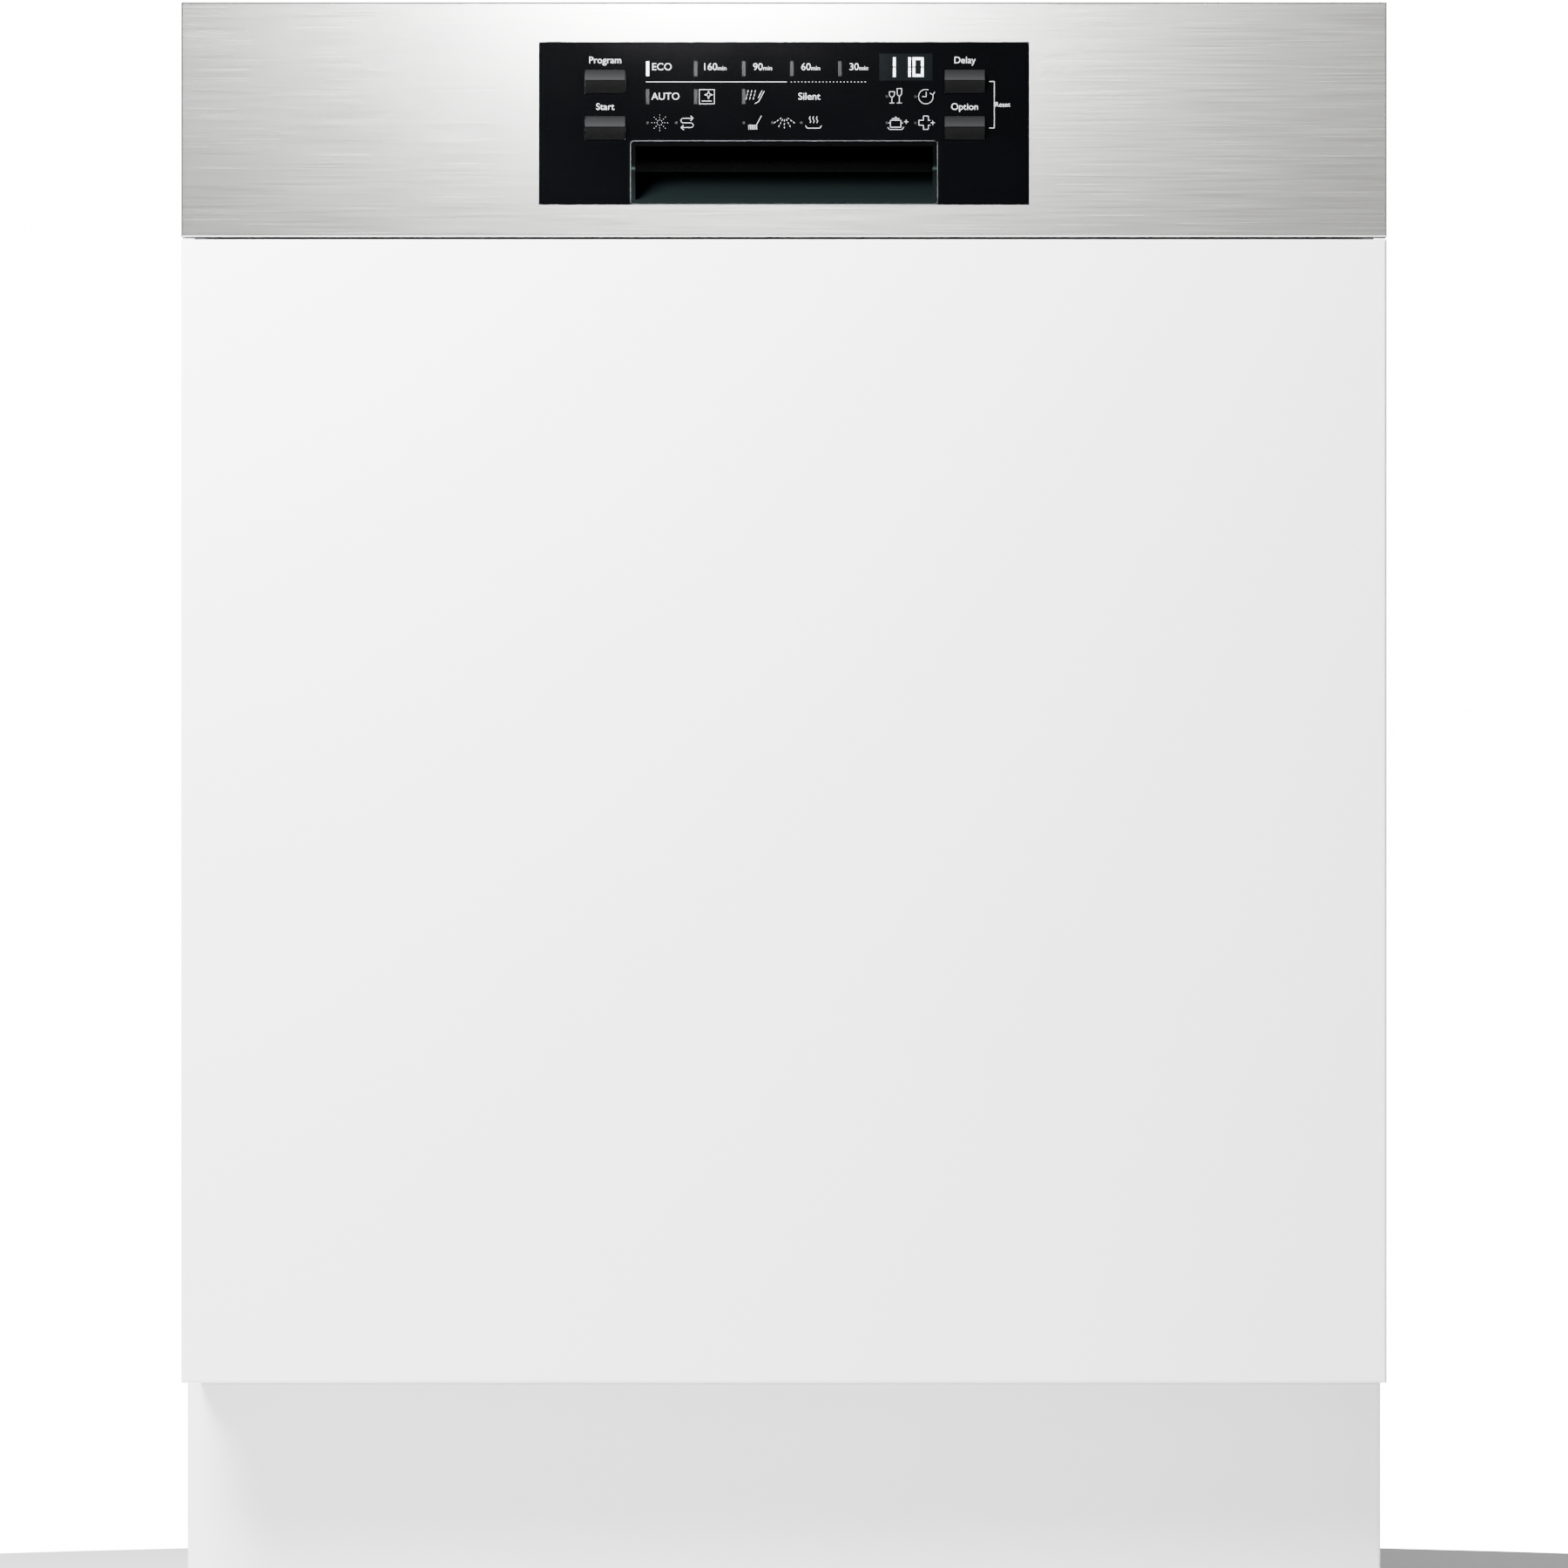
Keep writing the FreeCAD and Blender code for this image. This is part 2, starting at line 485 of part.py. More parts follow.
for label, sign in (("right_side_panel", ""), ("left_side_panel", "-")):
    panel = body(label)
    at_side = [(f"{sign}{SIDE_IN}", f"{sign}{CASE}"), (f"{sign}({CASE} - side_return)", f"{sign}{CASE}")]
    low_front = f"({BASE_FRONT} + side_sheet)"
    extrude(panel, "Pad", "XY", "side_low", "side_high",
            [rectangle(at_side[0], (low_front, SIDE_REAR))])
    extrude(panel, "Pad", "XY", "side_front_low", "side_high",
            [rectangle(at_side[1], (FRAME_BACK, f"{FRAME_BACK} + side_sheet"))])
    extrude(panel, "Pad", "XY", "side_front_low", "side_high",
            [rectangle(at_side[0], (f"{FRAME_BACK} + side_sheet", low_front))])
    extrude(panel, "Pad", "XY", "side_low", "side_high",
            [rectangle(at_side[1], (f"{SIDE_REAR} - side_sheet", SIDE_REAR))])
    for rib_y in ("-depth/6", "depth/12", "depth/3"):
        extrude(panel, "Pad", "XY", "side_low + rib_wide", "side_high - rib_wide",
                [rectangle((f"{sign}{CASE}", f"{sign}({CASE} + rib_deep)"),
                           (rib_y, f"{rib_y} + rib_wide"))])

TAB_BACK = f"({FRAME_FRONT} + bracket_tab)"
tab = block("worktop_tab", ("bracket_spread - bracket_tab/2", "bracket_spread + bracket_tab/2"),
            (FRAME_FRONT, TAB_BACK), ("height - bracket_plate", "height"))
tab_leg = block("worktop_leg", ("bracket_spread - bracket_tab/2", "bracket_spread + bracket_tab/2"),
                (FRAME_FRONT, f"{FRAME_FRONT} + bracket_plate"), ("frame_high", "height - bracket_plate"))
tab_hole = rod("worktop_hole", "Z", "bracket_hole", "height - 2*bracket_plate", "3*bracket_plate",
               x="bracket_spread", y=f"({FRAME_FRONT} + {TAB_BACK})/2")
tab_right = cut("worktop_right", fuse("worktop_angle", tab, tab_leg), tab_hole)
finish(group("worktop_pair", tab_right, mirrored("worktop_left", tab_right)), "worktop_brackets")

STRIKE_TOP = "(frame_high - strike_drop + strike_thick)"
strike_plate = block("strike_plate", span("strike_wide/2"), (f"{FRAME_FRONT} - strike_reach", FRAME_FRONT),
                     (f"{STRIKE_TOP} - strike_thick", STRIKE_TOP))
strike_slot = block("strike_slot", span("strike_wide/2 - strike_thick"),
                    (f"{FRAME_FRONT} - strike_reach + strike_thick", f"{FRAME_FRONT} - strike_thick"),
                    (f"{STRIKE_TOP} - strike_thick", STRIKE_TOP))
finish(cut("strike", strike_plate, strike_slot), "lock_strike")

# ---------------------------------------------------------------- sump, filters, pumps, softener
SUMP_IN = "(sump_round - sump_wall)"
FILTER_SEAT = f"({SHEET_UNDER} - 10)"
MESH_TOP = f"({FILTER_SEAT} + mesh_thick)"
sump = body("sump_housing")
turn(sump, [("0", "sump_low"), ("sump_round", "sump_low"),
            ("sump_round", f"{SHEET_UNDER} - sump_flange_thick"),
            ("sump_flange", f"{SHEET_UNDER} - sump_flange_thick"), ("sump_flange", SHEET_UNDER),
            (SUMP_IN, SHEET_UNDER), (SUMP_IN, FILTER_SEAT), (f"{SUMP_IN} - sump_ledge", FILTER_SEAT),
            (f"{SUMP_IN} - sump_ledge", "sump_low + sump_wall"), ("0", "sump_low + sump_wall")], "0",
     "sump_y")
extrude(sump, "Pad", "XY", "sump_low + sump_wall", "post_top", circles=[("0", POST_Y, "post_round")])
extrude(sump, "Pocket", "XY", "sump_low + sump_wall", "post_top",
        circles=[("0", POST_Y, "post_round - sump_wall + 1")])

strainer = body("flat_filter")
extrude(strainer, "Pad", "XY", FILTER_SEAT, MESH_TOP,
        circles=[("0", "sump_y", f"{SUMP_IN} - filter_play"), ("0", FILTER_Y, "filter_round + filter_play"),
                 ("0", POST_Y, "post_round + filter_play")])

basket_filter = body("filter_cylinder")
turn(basket_filter,
     [("0", "filter_low"), ("filter_round", "filter_low"), ("filter_round", f"{MESH_TOP} + filter_play"),
                     ("filter_head", f"{MESH_TOP} + filter_play"),
                     ("filter_head", f"{MESH_TOP} + filter_play + filter_head_thick"),
                     ("filter_round - 2", f"{MESH_TOP} + filter_play + filter_head_thick"),
                     ("filter_round - 2", "filter_low + 2"), ("0", "filter_low + 2")], "0", FILTER_Y)
extrude(basket_filter, "Pad", "XY", "filter_low + 2", "filter_grip_top",
        [rectangle(("-mesh_thick", "mesh_thick"),
                   (f"{FILTER_Y} - filter_round + 2.5", f"{FILTER_Y} + filter_round - 2.5"))])
extrude(basket_filter, "Pad", "XY", f"{MESH_TOP} + filter_play",
        f"{MESH_TOP} + filter_play + filter_head_thick",
        [rectangle(("-mesh_thick", "mesh_thick"),
                   (f"{FILTER_Y} - filter_round + 1", f"{FILTER_Y} + filter_round - 1"))])

SPOUT_Z = "(sump_low + spout_round + 2)"


def sump_side(name):
    return rod(name, "Z", "sump_round", "0", "height", y="sump_y")


volute = rod("volute", "Y", "volute_round", "pump_y - volute_thick", "volute_thick", x="pump_x", z="pump_z")
motor = rod("motor", "Y", "motor_round", "pump_y", "motor_long", x="pump_x", z="pump_z")
motor_foot = block("motor_foot", ("pump_x - motor_round/2", "pump_x + motor_round/2"),
                   ("pump_y + 10", "pump_y + motor_long - 10"), (BASE_TOP, "pump_z"))
riser = rod("pump_riser", "Z", "spout_round", "pump_z", f"{SPOUT_Z} - pump_z", x="pump_x",
            y="pump_y - volute_thick/2")
spout = rod("pump_spout", "X", "spout_round", "sump_round/2", "pump_x - sump_round/2",
            y="pump_y - volute_thick/2",
            z=SPOUT_Z)
finish(cut("circulation", fuse("pump_all", volute, motor, motor_foot, riser, spout),
           sump_side("pump_side")),
       "circulation_pump")

drain_can = rod("drain_can", "Y", "drain_round", "drain_y", "drain_long", x="drain_x", z="drain_z")
drain_foot = block("drain_foot", ("drain_x - drain_round/2", "drain_x + drain_round/2"),
                   ("drain_y + 8", "drain_y + drain_long - 8"), (BASE_TOP, "drain_z"))
drain_riser = rod("drain_riser", "Z", "drain_spigot", "drain_z", f"{SPOUT_Z} - drain_z", x="drain_x",
                  y="drain_y + drain_round")
drain_spout = rod("drain_spout", "X", "drain_spigot", "drain_x", "-drain_x - sump_round/2",
                  y="drain_y + drain_round", z=SPOUT_Z)
finish(cut("drain", fuse("drain_all", drain_can, drain_foot, drain_riser, drain_spout),
           sump_side("drain_side")),
       "drain_pump")

NECK_TOP = "(tub_floor_top + 2)"
softener = body("softener_tank")
extrude(softener, "Pad", "XY", BASE_TOP, "salt_shoulder",
        [rectangle(("salt_x - salt_box/2", "salt_x + salt_box/2"),
                   ("salt_y - salt_box/2", "salt_y + salt_box/2"))])
extrude(softener, "Pad", "XY", "salt_shoulder", NECK_TOP, circles=[("salt_x", "salt_y", "salt_neck")])
extrude(softener, "Pocket", "XY", f"{BASE_TOP} + base_wall", NECK_TOP,
        circles=[("salt_x", "salt_y", "salt_neck - base_wall")])

CAP_LOW = f"({NECK_TOP} + 0.3)"
cap = body("salt_cap")
turn(cap, [("0", CAP_LOW), ("salt_cap_round", CAP_LOW),
           ("salt_cap_round", f"{CAP_LOW} + salt_cap_thick - 2"),
           ("salt_cap_round - 2", f"{CAP_LOW} + salt_cap_thick"), ("0", f"{CAP_LOW} + salt_cap_thick")],
     "salt_x", "salt_y")
extrude(cap, "Pad", "XY", f"{CAP_LOW} + salt_cap_thick", f"{CAP_LOW} + salt_cap_thick + salt_cap_grip",
        [rectangle(("salt_x - 4", "salt_x + 4"), ("salt_y - salt_neck", "salt_y + salt_neck"))])

valve_body = block("valve_body", ("inlet_x - inlet_body/2", "inlet_x + inlet_body/2"),
                   (f"{INLET_BODY_BACK} - inlet_body", INLET_BODY_BACK),
                   ("inlet_z - inlet_body/2", "inlet_z + inlet_body/2"))
valve_neck = rod("valve_neck", "Y", "inlet_neck", INLET_BODY_BACK, f"{REAR} - {INLET_BODY_BACK}",
                 x="inlet_x", z="inlet_z")
valve_thread = rod("valve_thread", "Y", "inlet_thread", f"{REAR} - inlet_thread_long", "inlet_thread_long",
                   x="inlet_x", z="inlet_z")
valve_bore = rod("valve_bore", "Y", "inlet_neck - base_wall", INLET_BODY_BACK,
                 f"{REAR} - {INLET_BODY_BACK}",
                 x="inlet_x", z="inlet_z")
finish(cut("valve", fuse("valve_all", valve_body, valve_neck, valve_thread), valve_bore), "inlet_valve")

OUTLET_BACK = f"({BASE_REAR} + outlet_thick)"
outlet_plate = block("outlet_plate", ("outlet_x - outlet_wide/2", "outlet_x + outlet_wide/2"),
                     (BASE_REAR, OUTLET_BACK), (OUTLET_LOW, f"{OUTLET_LOW} + outlet_tall"))
spigot = rod("spigot", "Y", "drain_spigot", BASE_REAR, f"{REAR} - {BASE_REAR}",
             x="outlet_x + spigot_spread",
             z="outlet_z")
spigot_bore = rod("spigot_bore", "Y", "drain_spigot - 2", BASE_REAR, f"{REAR} - {BASE_REAR}",
                  x="outlet_x + spigot_spread", z="outlet_z")
gland = rod("gland", "Y", "gland_round", OUTLET_BACK, "gland_long", x="outlet_x - spigot_spread",
            z="outlet_z")
gland_hole = rod("gland_hole", "Y", "gland_bore", BASE_REAR, f"{REAR} - {BASE_REAR}",
                 x="outlet_x - spigot_spread",
                 z="outlet_z")
finish(cut("outlets", fuse("outlet_all", outlet_plate, spigot, gland), spigot_bore, gland_hole),
       "hose_outlet_block")

TUB_BACK_IN = f"({TUB_REAR} - tub_sheet)"
DUCT_FRONT = f"({TUB_BACK_IN} - duct_deep)"
duct = body("water_feed_duct")
extrude(duct, "Pad", "YZ", "-duct_half", "duct_half",
        [[("sump_y + sump_round + 2", "tub_floor_top"), (TUB_BACK_IN, "tub_floor_top"),
          (TUB_BACK_IN, "duct_top"),
          (DUCT_FRONT, "duct_top"), (DUCT_FRONT, "tub_floor_top + 12"),
          ("sump_y + sump_round + 14", "tub_floor_top + 12")]])
extrude(duct, "Pad", "XZ", f"{DUCT_FRONT} - duct_port_long", DUCT_FRONT,
        circles=[("0", "duct_port_z", "duct_port")])
extrude(duct, "Pocket", "XZ", f"{DUCT_FRONT} - duct_port_long", f"{DUCT_FRONT} + duct_deep/2",
        circles=[("0", "duct_port_z", "duct_port - 2")])

# ---------------------------------------------------------------- spray arms


def spray_arm(label, reach, low, pin):
    """A flat paddle arm, wide at the hub, with its bore a running fit on the pin and nozzles on top."""
    arm = body(label)
    top = f"({low} + lower_arm_thick)"
    extrude(arm, "Pad", "XY", low, top,
            [[(f"-{reach}", "arm_y - lower_arm_tip/2"), ("-arm_hub", "arm_y - lower_arm_wide/2"),
              ("arm_hub", "arm_y - lower_arm_wide/2"), (reach, "arm_y - lower_arm_tip/2"),
              (reach, "arm_y + lower_arm_tip/2"), ("arm_hub", "arm_y + lower_arm_wide/2"),
              ("-arm_hub", "arm_y + lower_arm_wide/2"), (f"-{reach}", "arm_y + lower_arm_tip/2")]])
    round_edges(arm, "lower_arm_tip/4", along("Z"))
    extrude(arm, "Pocket", "XY", low, top, circles=[("0", "arm_y", f"{pin} + arm_play")])
    holes = []
    for i, side in enumerate((-1, 1) * 3, start=1):
        holes.append((f"{side}*({reach}*{i}/7)", f"arm_y + {side * (i % 3 - 1)}*lower_arm_tip/6", "nozzle"))
    extrude(arm, "Pocket", "XY", f"{low} + lower_arm_thick/2", top, circles=holes)
    return arm


spray_arm("lower_spray_arm", "lower_arm_reach", "lower_arm_low", "post_round")
spray_arm("upper_spray_arm", "upper_arm_reach", "upper_arm_low", "upper_pin")

FEED_REAR = f"({DUCT_FRONT} - duct_port_long - 0.6)"
tube = rod("feed_tube", "Y", "feed_round", "arm_y", f"{FEED_REAR} - arm_y", z="duct_port_z")
elbow = rod("feed_elbow", "Z", "feed_round + 2", "duct_port_z - feed_round - 1", "2*feed_round + 2",
            y="arm_y")
pin = rod("feed_pin", "Z", "upper_pin", "upper_arm_low - 4", "duct_port_z - upper_arm_low", y="arm_y")
pin_cap = rod("feed_cap", "Z", "upper_pin + 4", "upper_arm_low - 4.5", "4", y="arm_y")
hanger = block("feed_hanger", ("-wire", "wire"), ("arm_y", "arm_y + 60"),
               ("duct_port_z", "upper_floor - wire"))
finish(fuse("feed", tube, elbow, pin, pin_cap, hanger), "upper_feed_tube")

# ---------------------------------------------------------------- rails, racks, wheels
RAIL_IN = "(frame_open_half - gasket_thick - rail_gap)"
RUNNER_IN = f"({RAIL_IN} - rail_mid - rail_gap - runner_thick - rail_outer + 2.5)"
MID_IN = f"({RUNNER_IN} + 2.5)"
RAIL_LIP = f"({RAIL_IN} - runner_thick)"
RUNNER_LIP = f"({RAIL_LIP} - runner_lap)"
HALF_RAIL = "rail_high/2"


def channel(back_from, back_to, lip_end):
    """The outline, in X and Z, of a C on its side: its web, and lips that end at lip_end."""
    low, high = f"rail_z - {HALF_RAIL}", f"rail_z + {HALF_RAIL}"
    return [(back_from, low), (lip_end, low), (lip_end, f"{low} + rail_lip"),
            (back_to, f"{low} + rail_lip"),
            (back_to, f"{high} - rail_lip"), (lip_end, f"{high} - rail_lip"), (lip_end, high),
            (back_from, high)]


def prism(name, plane, outline, low, high):
    """An outline in X and Z (or Y and Z), through a range of Y (or X), as a plain solid."""
    low, high = num(low), num(high)
    if plane == "XZ":
        points = [FreeCAD.Vector(num(u), low, num(v)) for u, v in outline]
        push = FreeCAD.Vector(0, high - low, 0)
    else:
        points = [FreeCAD.Vector(low, num(u), num(v)) for u, v in outline]
        push = FreeCAD.Vector(high - low, 0, 0)
    return direct(name, Part.Face(Part.makePolygon(points + points[:1])).extrude(push))


outer_rail = prism("rail_outer", "XZ", channel("tub_half", RAIL_IN, RAIL_LIP), "rail_front", "rail_rear")
finish(group("rails_outer", outer_rail, mirrored("rail_outer_left", outer_rail)), "upper_outer_rails")
mid_rail = block("rail_middle", (MID_IN, f"{RAIL_IN} - rail_gap"), ("rail_front", "rail_rear"),
                 (f"rail_z - {HALF_RAIL} + rail_lip + rail_gap",
                  f"rail_z + {HALF_RAIL} - rail_lip - rail_gap"))
finish(group("rails_middle", mid_rail, mirrored("rail_middle_left", mid_rail)), "upper_rail_slides")


def wire_rod(a, b, radius):
    a, b = FreeCAD.Vector(*a), FreeCAD.Vector(*b)
    return Part.makeCylinder(radius, (b - a).Length, a, b - a)


def spread(low, high, pitch):
    """Evenly spaced places from low to high, about a pitch apart."""
    count = max(1, round((high - low) / pitch))
    return [low + (high - low) * i / count for i in range(count + 1)]


def cross_places():
    """The Y of every cross wire, and of the uprights and tines that stand on them."""
    return spread(num("rack_front + rack_edge"), num("rack_rear - rack_edge"), num("cross_pitch"))


def rack_wires(floor_z, mid_z, rim_z):
    """A wire basket: floor wires under cross wires, uprights inside the side rims, rims round the outside.

    Each wire is its own solid, and lies against its neighbours. One floor wire is always in the middle,
    where the feed tube hangs from it."""
    half, front, rear = num("rack_half"), num("rack_front"), num("rack_rear")
    thin, thick = num("wire") / 2, num("wire_thick") / 2
    step = 2 * thin
    wires = []
    ys = cross_places()
    reach = num("rack_half - rack_edge")
    right = spread(0, reach, num("wire_pitch"))
    xs = [-x for x in reversed(right[1:])] + right
    for x in xs:
        wires.append(wire_rod((x, front + thick, floor_z - thin), (x, rear - thick, floor_z - thin), thin))
    for y in ys:
        wires.append(wire_rod((-half + thick, y, floor_z + thin), (half - thick, y, floor_z + thin), thin))
    for sx in (-1, 1):
        for y in ys:
            x = sx * (half - 2 * thick - thin)
            wires.append(wire_rod((x, y, floor_z + step), (x, y, rim_z), thin))
    for y, out in ((front, 1), (rear, -1)):
        for x in xs[::2]:
            at = y + out * (2 * thick + thin)
            wires.append(wire_rod((x, at, floor_z), (x, at, rim_z), thin))
    for z, r in ((rim_z - thick, thick), (mid_z, thick)):
        for sx in (-1, 1):
            x = sx * (half - thick)
            wires.append(wire_rod((x, front, z), (x, rear, z), r))
        for y, out in ((front, 1), (rear, -1)):
            at = y + out * thick
            wires.append(wire_rod((-half + 2 * thick, at, z), (half - 2 * thick, at, z), r))
    return wires


lower_wires = rack_wires(num("lower_floor"), num("lower_mid"), num("lower_rim"))
upper_wires = rack_wires(num("upper_floor"), num("upper_mid"), num("upper_rim"))


def bearing(x, y, z, long, rod_radius):
    """A block under a rod that lies along Y, open all round it by the running clearance."""
    tall = rod_radius + num("bearing_wall")
    solid = Part.makeBox(2 * tall, long, z + tall - (num("lower_floor") + num("wire")),
                         FreeCAD.Vector(x - tall, y, num("lower_floor") + num("wire")))
    return solid.cut(wire_rod((x, y - 1, z), (x, y + long + 1, z), rod_radius + num("tine_play")))


# lower rack: wires, fixed tines, wheel carriers with their axles, bearings for the folding tines
wheel_end = num("wheel_x") + num("wheel_thick") / 2
floor_top = num("lower_floor") + num("wire")
carriers = []
for y in (num("wheel_front_y"), num("wheel_rear_y")):
    for side in (-1, 1):
        z = num(WHEEL_Z)
        middle = side * num("rack_half - carrier_inset")
        plate = Part.makeBox(num("carrier_thick"), num("carrier_long"),
                             num("lower_floor + carrier_drop") - z,
                             FreeCAD.Vector(middle - num("carrier_thick/2"), y - num("carrier_long/2"),
                                            z - num("carrier_drop")))
        end = side * (wheel_end + num("axle_head"))
        axle = wire_rod((middle, y, z), (end, y, z), num("axle_round"))
        head = wire_rod((side * (wheel_end + num("axle_head_gap")), y, z), (end, y, z),
                        num("axle_round + axle_head"))
        carriers.append(plate.fuse(axle).fuse(head).removeSplitter())

TINE_Z = "(lower_floor + wire + tine_lift)"
tine_z, tine_r = num(TINE_Z), num("tine_rod") / 2
tine_rear = num("tine_front") + num("tine_pitch") * (num("tine_count") - 1)
bearing_front = num("tine_front - bearing_gap - bearing_long")
fixed_tines = []
for x in (num("tine_fixed"), num("tine_fixed + fixed_row_gap")):
    for y in cross_places()[1:-1]:
        fixed_tines.append(wire_rod((x, y, floor_top), (x, y, floor_top + num("tine_tall")), tine_r))
bearings = []
for x in (num("tine_left"), num("tine_right")):
    for y in (bearing_front, tine_rear + num("bearing_gap")):
        bearings.append(bearing(x, y, tine_z, num("bearing_long"), tine_r))
finish(direct("lower_rack_shape", Part.makeCompound(lower_wires + carriers + fixed_tines + bearings)),
       "lower_rack")

for label, x in (("folding_tines_left", "tine_left"), ("folding_tines_right", "tine_right")):
    spine = wire_rod((num(x), num("tine_front - spine_over"), tine_z),
                     (num(x), tine_rear + num("spine_over"), tine_z), tine_r)
    for i in range(int(num("tine_count"))):
        y = num("tine_front") + num("tine_pitch") * i
        spine = spine.fuse(wire_rod((num(x), y, tine_z), (num(x), y, tine_z + num("tine_tall")), tine_r))
    finish(direct(label + "_shape", spine.removeSplitter()), label)

for label, y in (("front_wheels", "wheel_front_y"), ("rear_wheels", "wheel_rear_y")):
    tread = rod(label + "_tread", "X", "wheel_round", "wheel_x - wheel_thick/2", "wheel_thick", y=y,
                z=WHEEL_Z)
    bore = rod(label + "_bore", "X", "axle_round + axle_play", "wheel_x - wheel_thick", "2*wheel_thick",
               y=y,
               z=WHEEL_Z)
    wheel = cut(label + "_right", tread, bore)
    finish(group(label + "_pair", wheel, mirrored(label + "_left", wheel)), label)

# upper rack: wires, tines, and the runners that telescope over the middle rails
upper_parts = list(upper_wires)
runner_points = channel(RUNNER_IN, f"{RUNNER_IN} + runner_sheet", RUNNER_LIP)
for side in (-1, 1):
    ring = [FreeCAD.Vector(side * num(u), num("rack_front"), num(v)) for u, v in runner_points]
    runner = Part.Face(Part.makePolygon(ring + ring[:1])).extrude(
        FreeCAD.Vector(0, num("rack_rear") - num("rack_front"), 0))
    upper_parts.append(runner)
    for y in spread(num("rack_front + strap_inset"), num("rack_rear - strap_inset"), num("strap_pitch")):
        low, high = num("upper_mid - wire_thick/2"), num("upper_rim")
        x0, x1, x2 = num("rack_half"), num("rack_half + strap_thick"), num(RUNNER_IN)
        front = y - num("strap_long/2")
        strap = Part.makeBox(x1 - x0, num("strap_long"), high - low,
                             FreeCAD.Vector(x0 if side > 0 else -x1, front, low))
        lug = Part.makeBox(x2 - x1, num("strap_long"), num("lug_tall"),
                           FreeCAD.Vector(x1 if side > 0 else -x2, front, num("rail_z - lug_tall/2")))
        upper_parts.append(strap.fuse(lug).removeSplitter())
upper_top = num("upper_floor") + num("wire")
for side in (-1, 0, 1):
    x = side * num("upper_tine_x")
    for y in cross_places()[1:-1]:
        upper_parts.append(wire_rod((x, y, upper_top), (x, y, upper_top + num("upper_tine_tall")), tine_r))
finish(direct("upper_rack_shape", Part.makeCompound(upper_parts)), "upper_rack")

for label, sign in (("cup_shelf_right", ""), ("cup_shelf_left", "-")):
    shelf = body(label)
    edge, tip = f"{sign}(shelf_x - shelf_bar/2)", f"{sign}(shelf_x - shelf_wide)"
    extrude(shelf, "Pad", "XZ", "shelf_y - shelf_long/2", "shelf_y + shelf_long/2",
            circles=[(f"{sign}shelf_x", "shelf_z", "shelf_bar/2")])
    extrude(shelf, "Pad", "XY", "shelf_z - shelf_thick/2", "shelf_z + shelf_thick/2",
            [rectangle((f"{sign}shelf_x", tip), ("shelf_y - shelf_long/2", "shelf_y + shelf_long/2"))])
    slots = [rectangle((f"{edge} {'+' if sign else '-'} 10", f"{tip} {'-' if sign else '+'} 10"),
                       (f"shelf_y + shelf_long*({i}/5 - 1/2) + 7",
                        f"shelf_y + shelf_long*({i}/5 - 3/10) - 7"))
             for i in range(5)]
    extrude(shelf, "Pocket", "XY", "shelf_z - shelf_thick", "shelf_z + shelf_thick", slots)

# cutlery basket: three rows of open cells and a carrying handle
BASKET_LOW = "(lower_floor + wire + 0.3)"
BASKET_TOP = f"({BASKET_LOW} + basket_tall)"
cutlery = body("cutlery_basket")
extrude(cutlery, "Pad", "XY", BASKET_LOW, BASKET_TOP,
        [rectangle(("basket_x - basket_wide/2", "basket_x + basket_wide/2"), span("basket_long/2"))])
round_edges(cutlery, "4*basket_wall", along("Z"))
cells = []
for i in range(2):
    for j in range(4):
        cell_x = f"basket_x - basket_wide/2 + {i}*(basket_wide - basket_wall)/2"
        cell_y = f"-basket_long/2 + {j}*(basket_long - basket_wall)/4"
        inset = ("4*basket_wall/3", "4*basket_wall/3")
        cells.append(rectangle((f"{cell_x} + {inset[0]}",
                                f"{cell_x} + (basket_wide - basket_wall)/2 - basket_wall/3"),
                               (f"{cell_y} + {inset[1]}",
                                f"{cell_y} + (basket_long - basket_wall)/4 - basket_wall/3")))
extrude(cutlery, "Pocket", "XY", f"{BASKET_LOW} + basket_wall", BASKET_TOP, cells)
for sign in ("", "-"):
    extrude(cutlery, "Pad", "XY", f"{BASKET_TOP} - basket_wall", f"{BASKET_TOP} + basket_handle",
            [rectangle(("basket_x - basket_bar", "basket_x + basket_bar"),
                       (f"{sign}basket_long/2", f"{sign}(basket_long/2 - basket_wall)"))])
extrude(cutlery, "Pad", "XY", f"{BASKET_TOP} + basket_handle - 3", f"{BASKET_TOP} + basket_handle",
        [rectangle(("basket_x - basket_bar", "basket_x + basket_bar"), span("basket_long/2"))])

# ---------------------------------------------------------------- hinges and balance springs
nose = "bracket_nose"
plate = prism("bracket_plate", "YZ",
              [(f"{HINGE_Y} - 0.4*{nose}", f"hinge_height - {nose}"),
               (BASE_FRONT, f"hinge_height - {nose}"),
               (BASE_FRONT, "frame_low - 1"), (f"{FRAME_FRONT} - 1", "frame_low - 1"),
               (f"{HINGE_Y} + {nose}", f"hinge_height + 0.4*{nose}"),
               (f"{HINGE_Y} + 0.4*{nose}", f"hinge_height + {nose}"),
               (f"{HINGE_Y} - 0.4*{nose}", f"hinge_height + {nose}"),
               (f"{HINGE_Y} - {nose}", f"hinge_height + 0.4*{nose}"),
               (f"{HINGE_Y} - {nose}", f"hinge_height - 0.4*{nose}")], BRACKET_IN, BRACKET_OUT)
flange = block("bracket_flange", ("base_half", BRACKET_IN), (f"{FRAME_FRONT} + base_lip_gap", BASE_FRONT),
               ("base_high - base_lip_tall", "frame_low - 1"))
pin_hole = rod("bracket_bore", "X", "hinge_pin + hinge_play", f"{BRACKET_IN} - 1", "bracket_thick + 2",
               y=HINGE_Y,
               z="hinge_height")
bracket = cut("bracket_right", fuse("bracket_all", plate, flange), pin_hole)
finish(group("bracket_pair", bracket, mirrored("bracket_left", bracket)), "hinge_brackets")

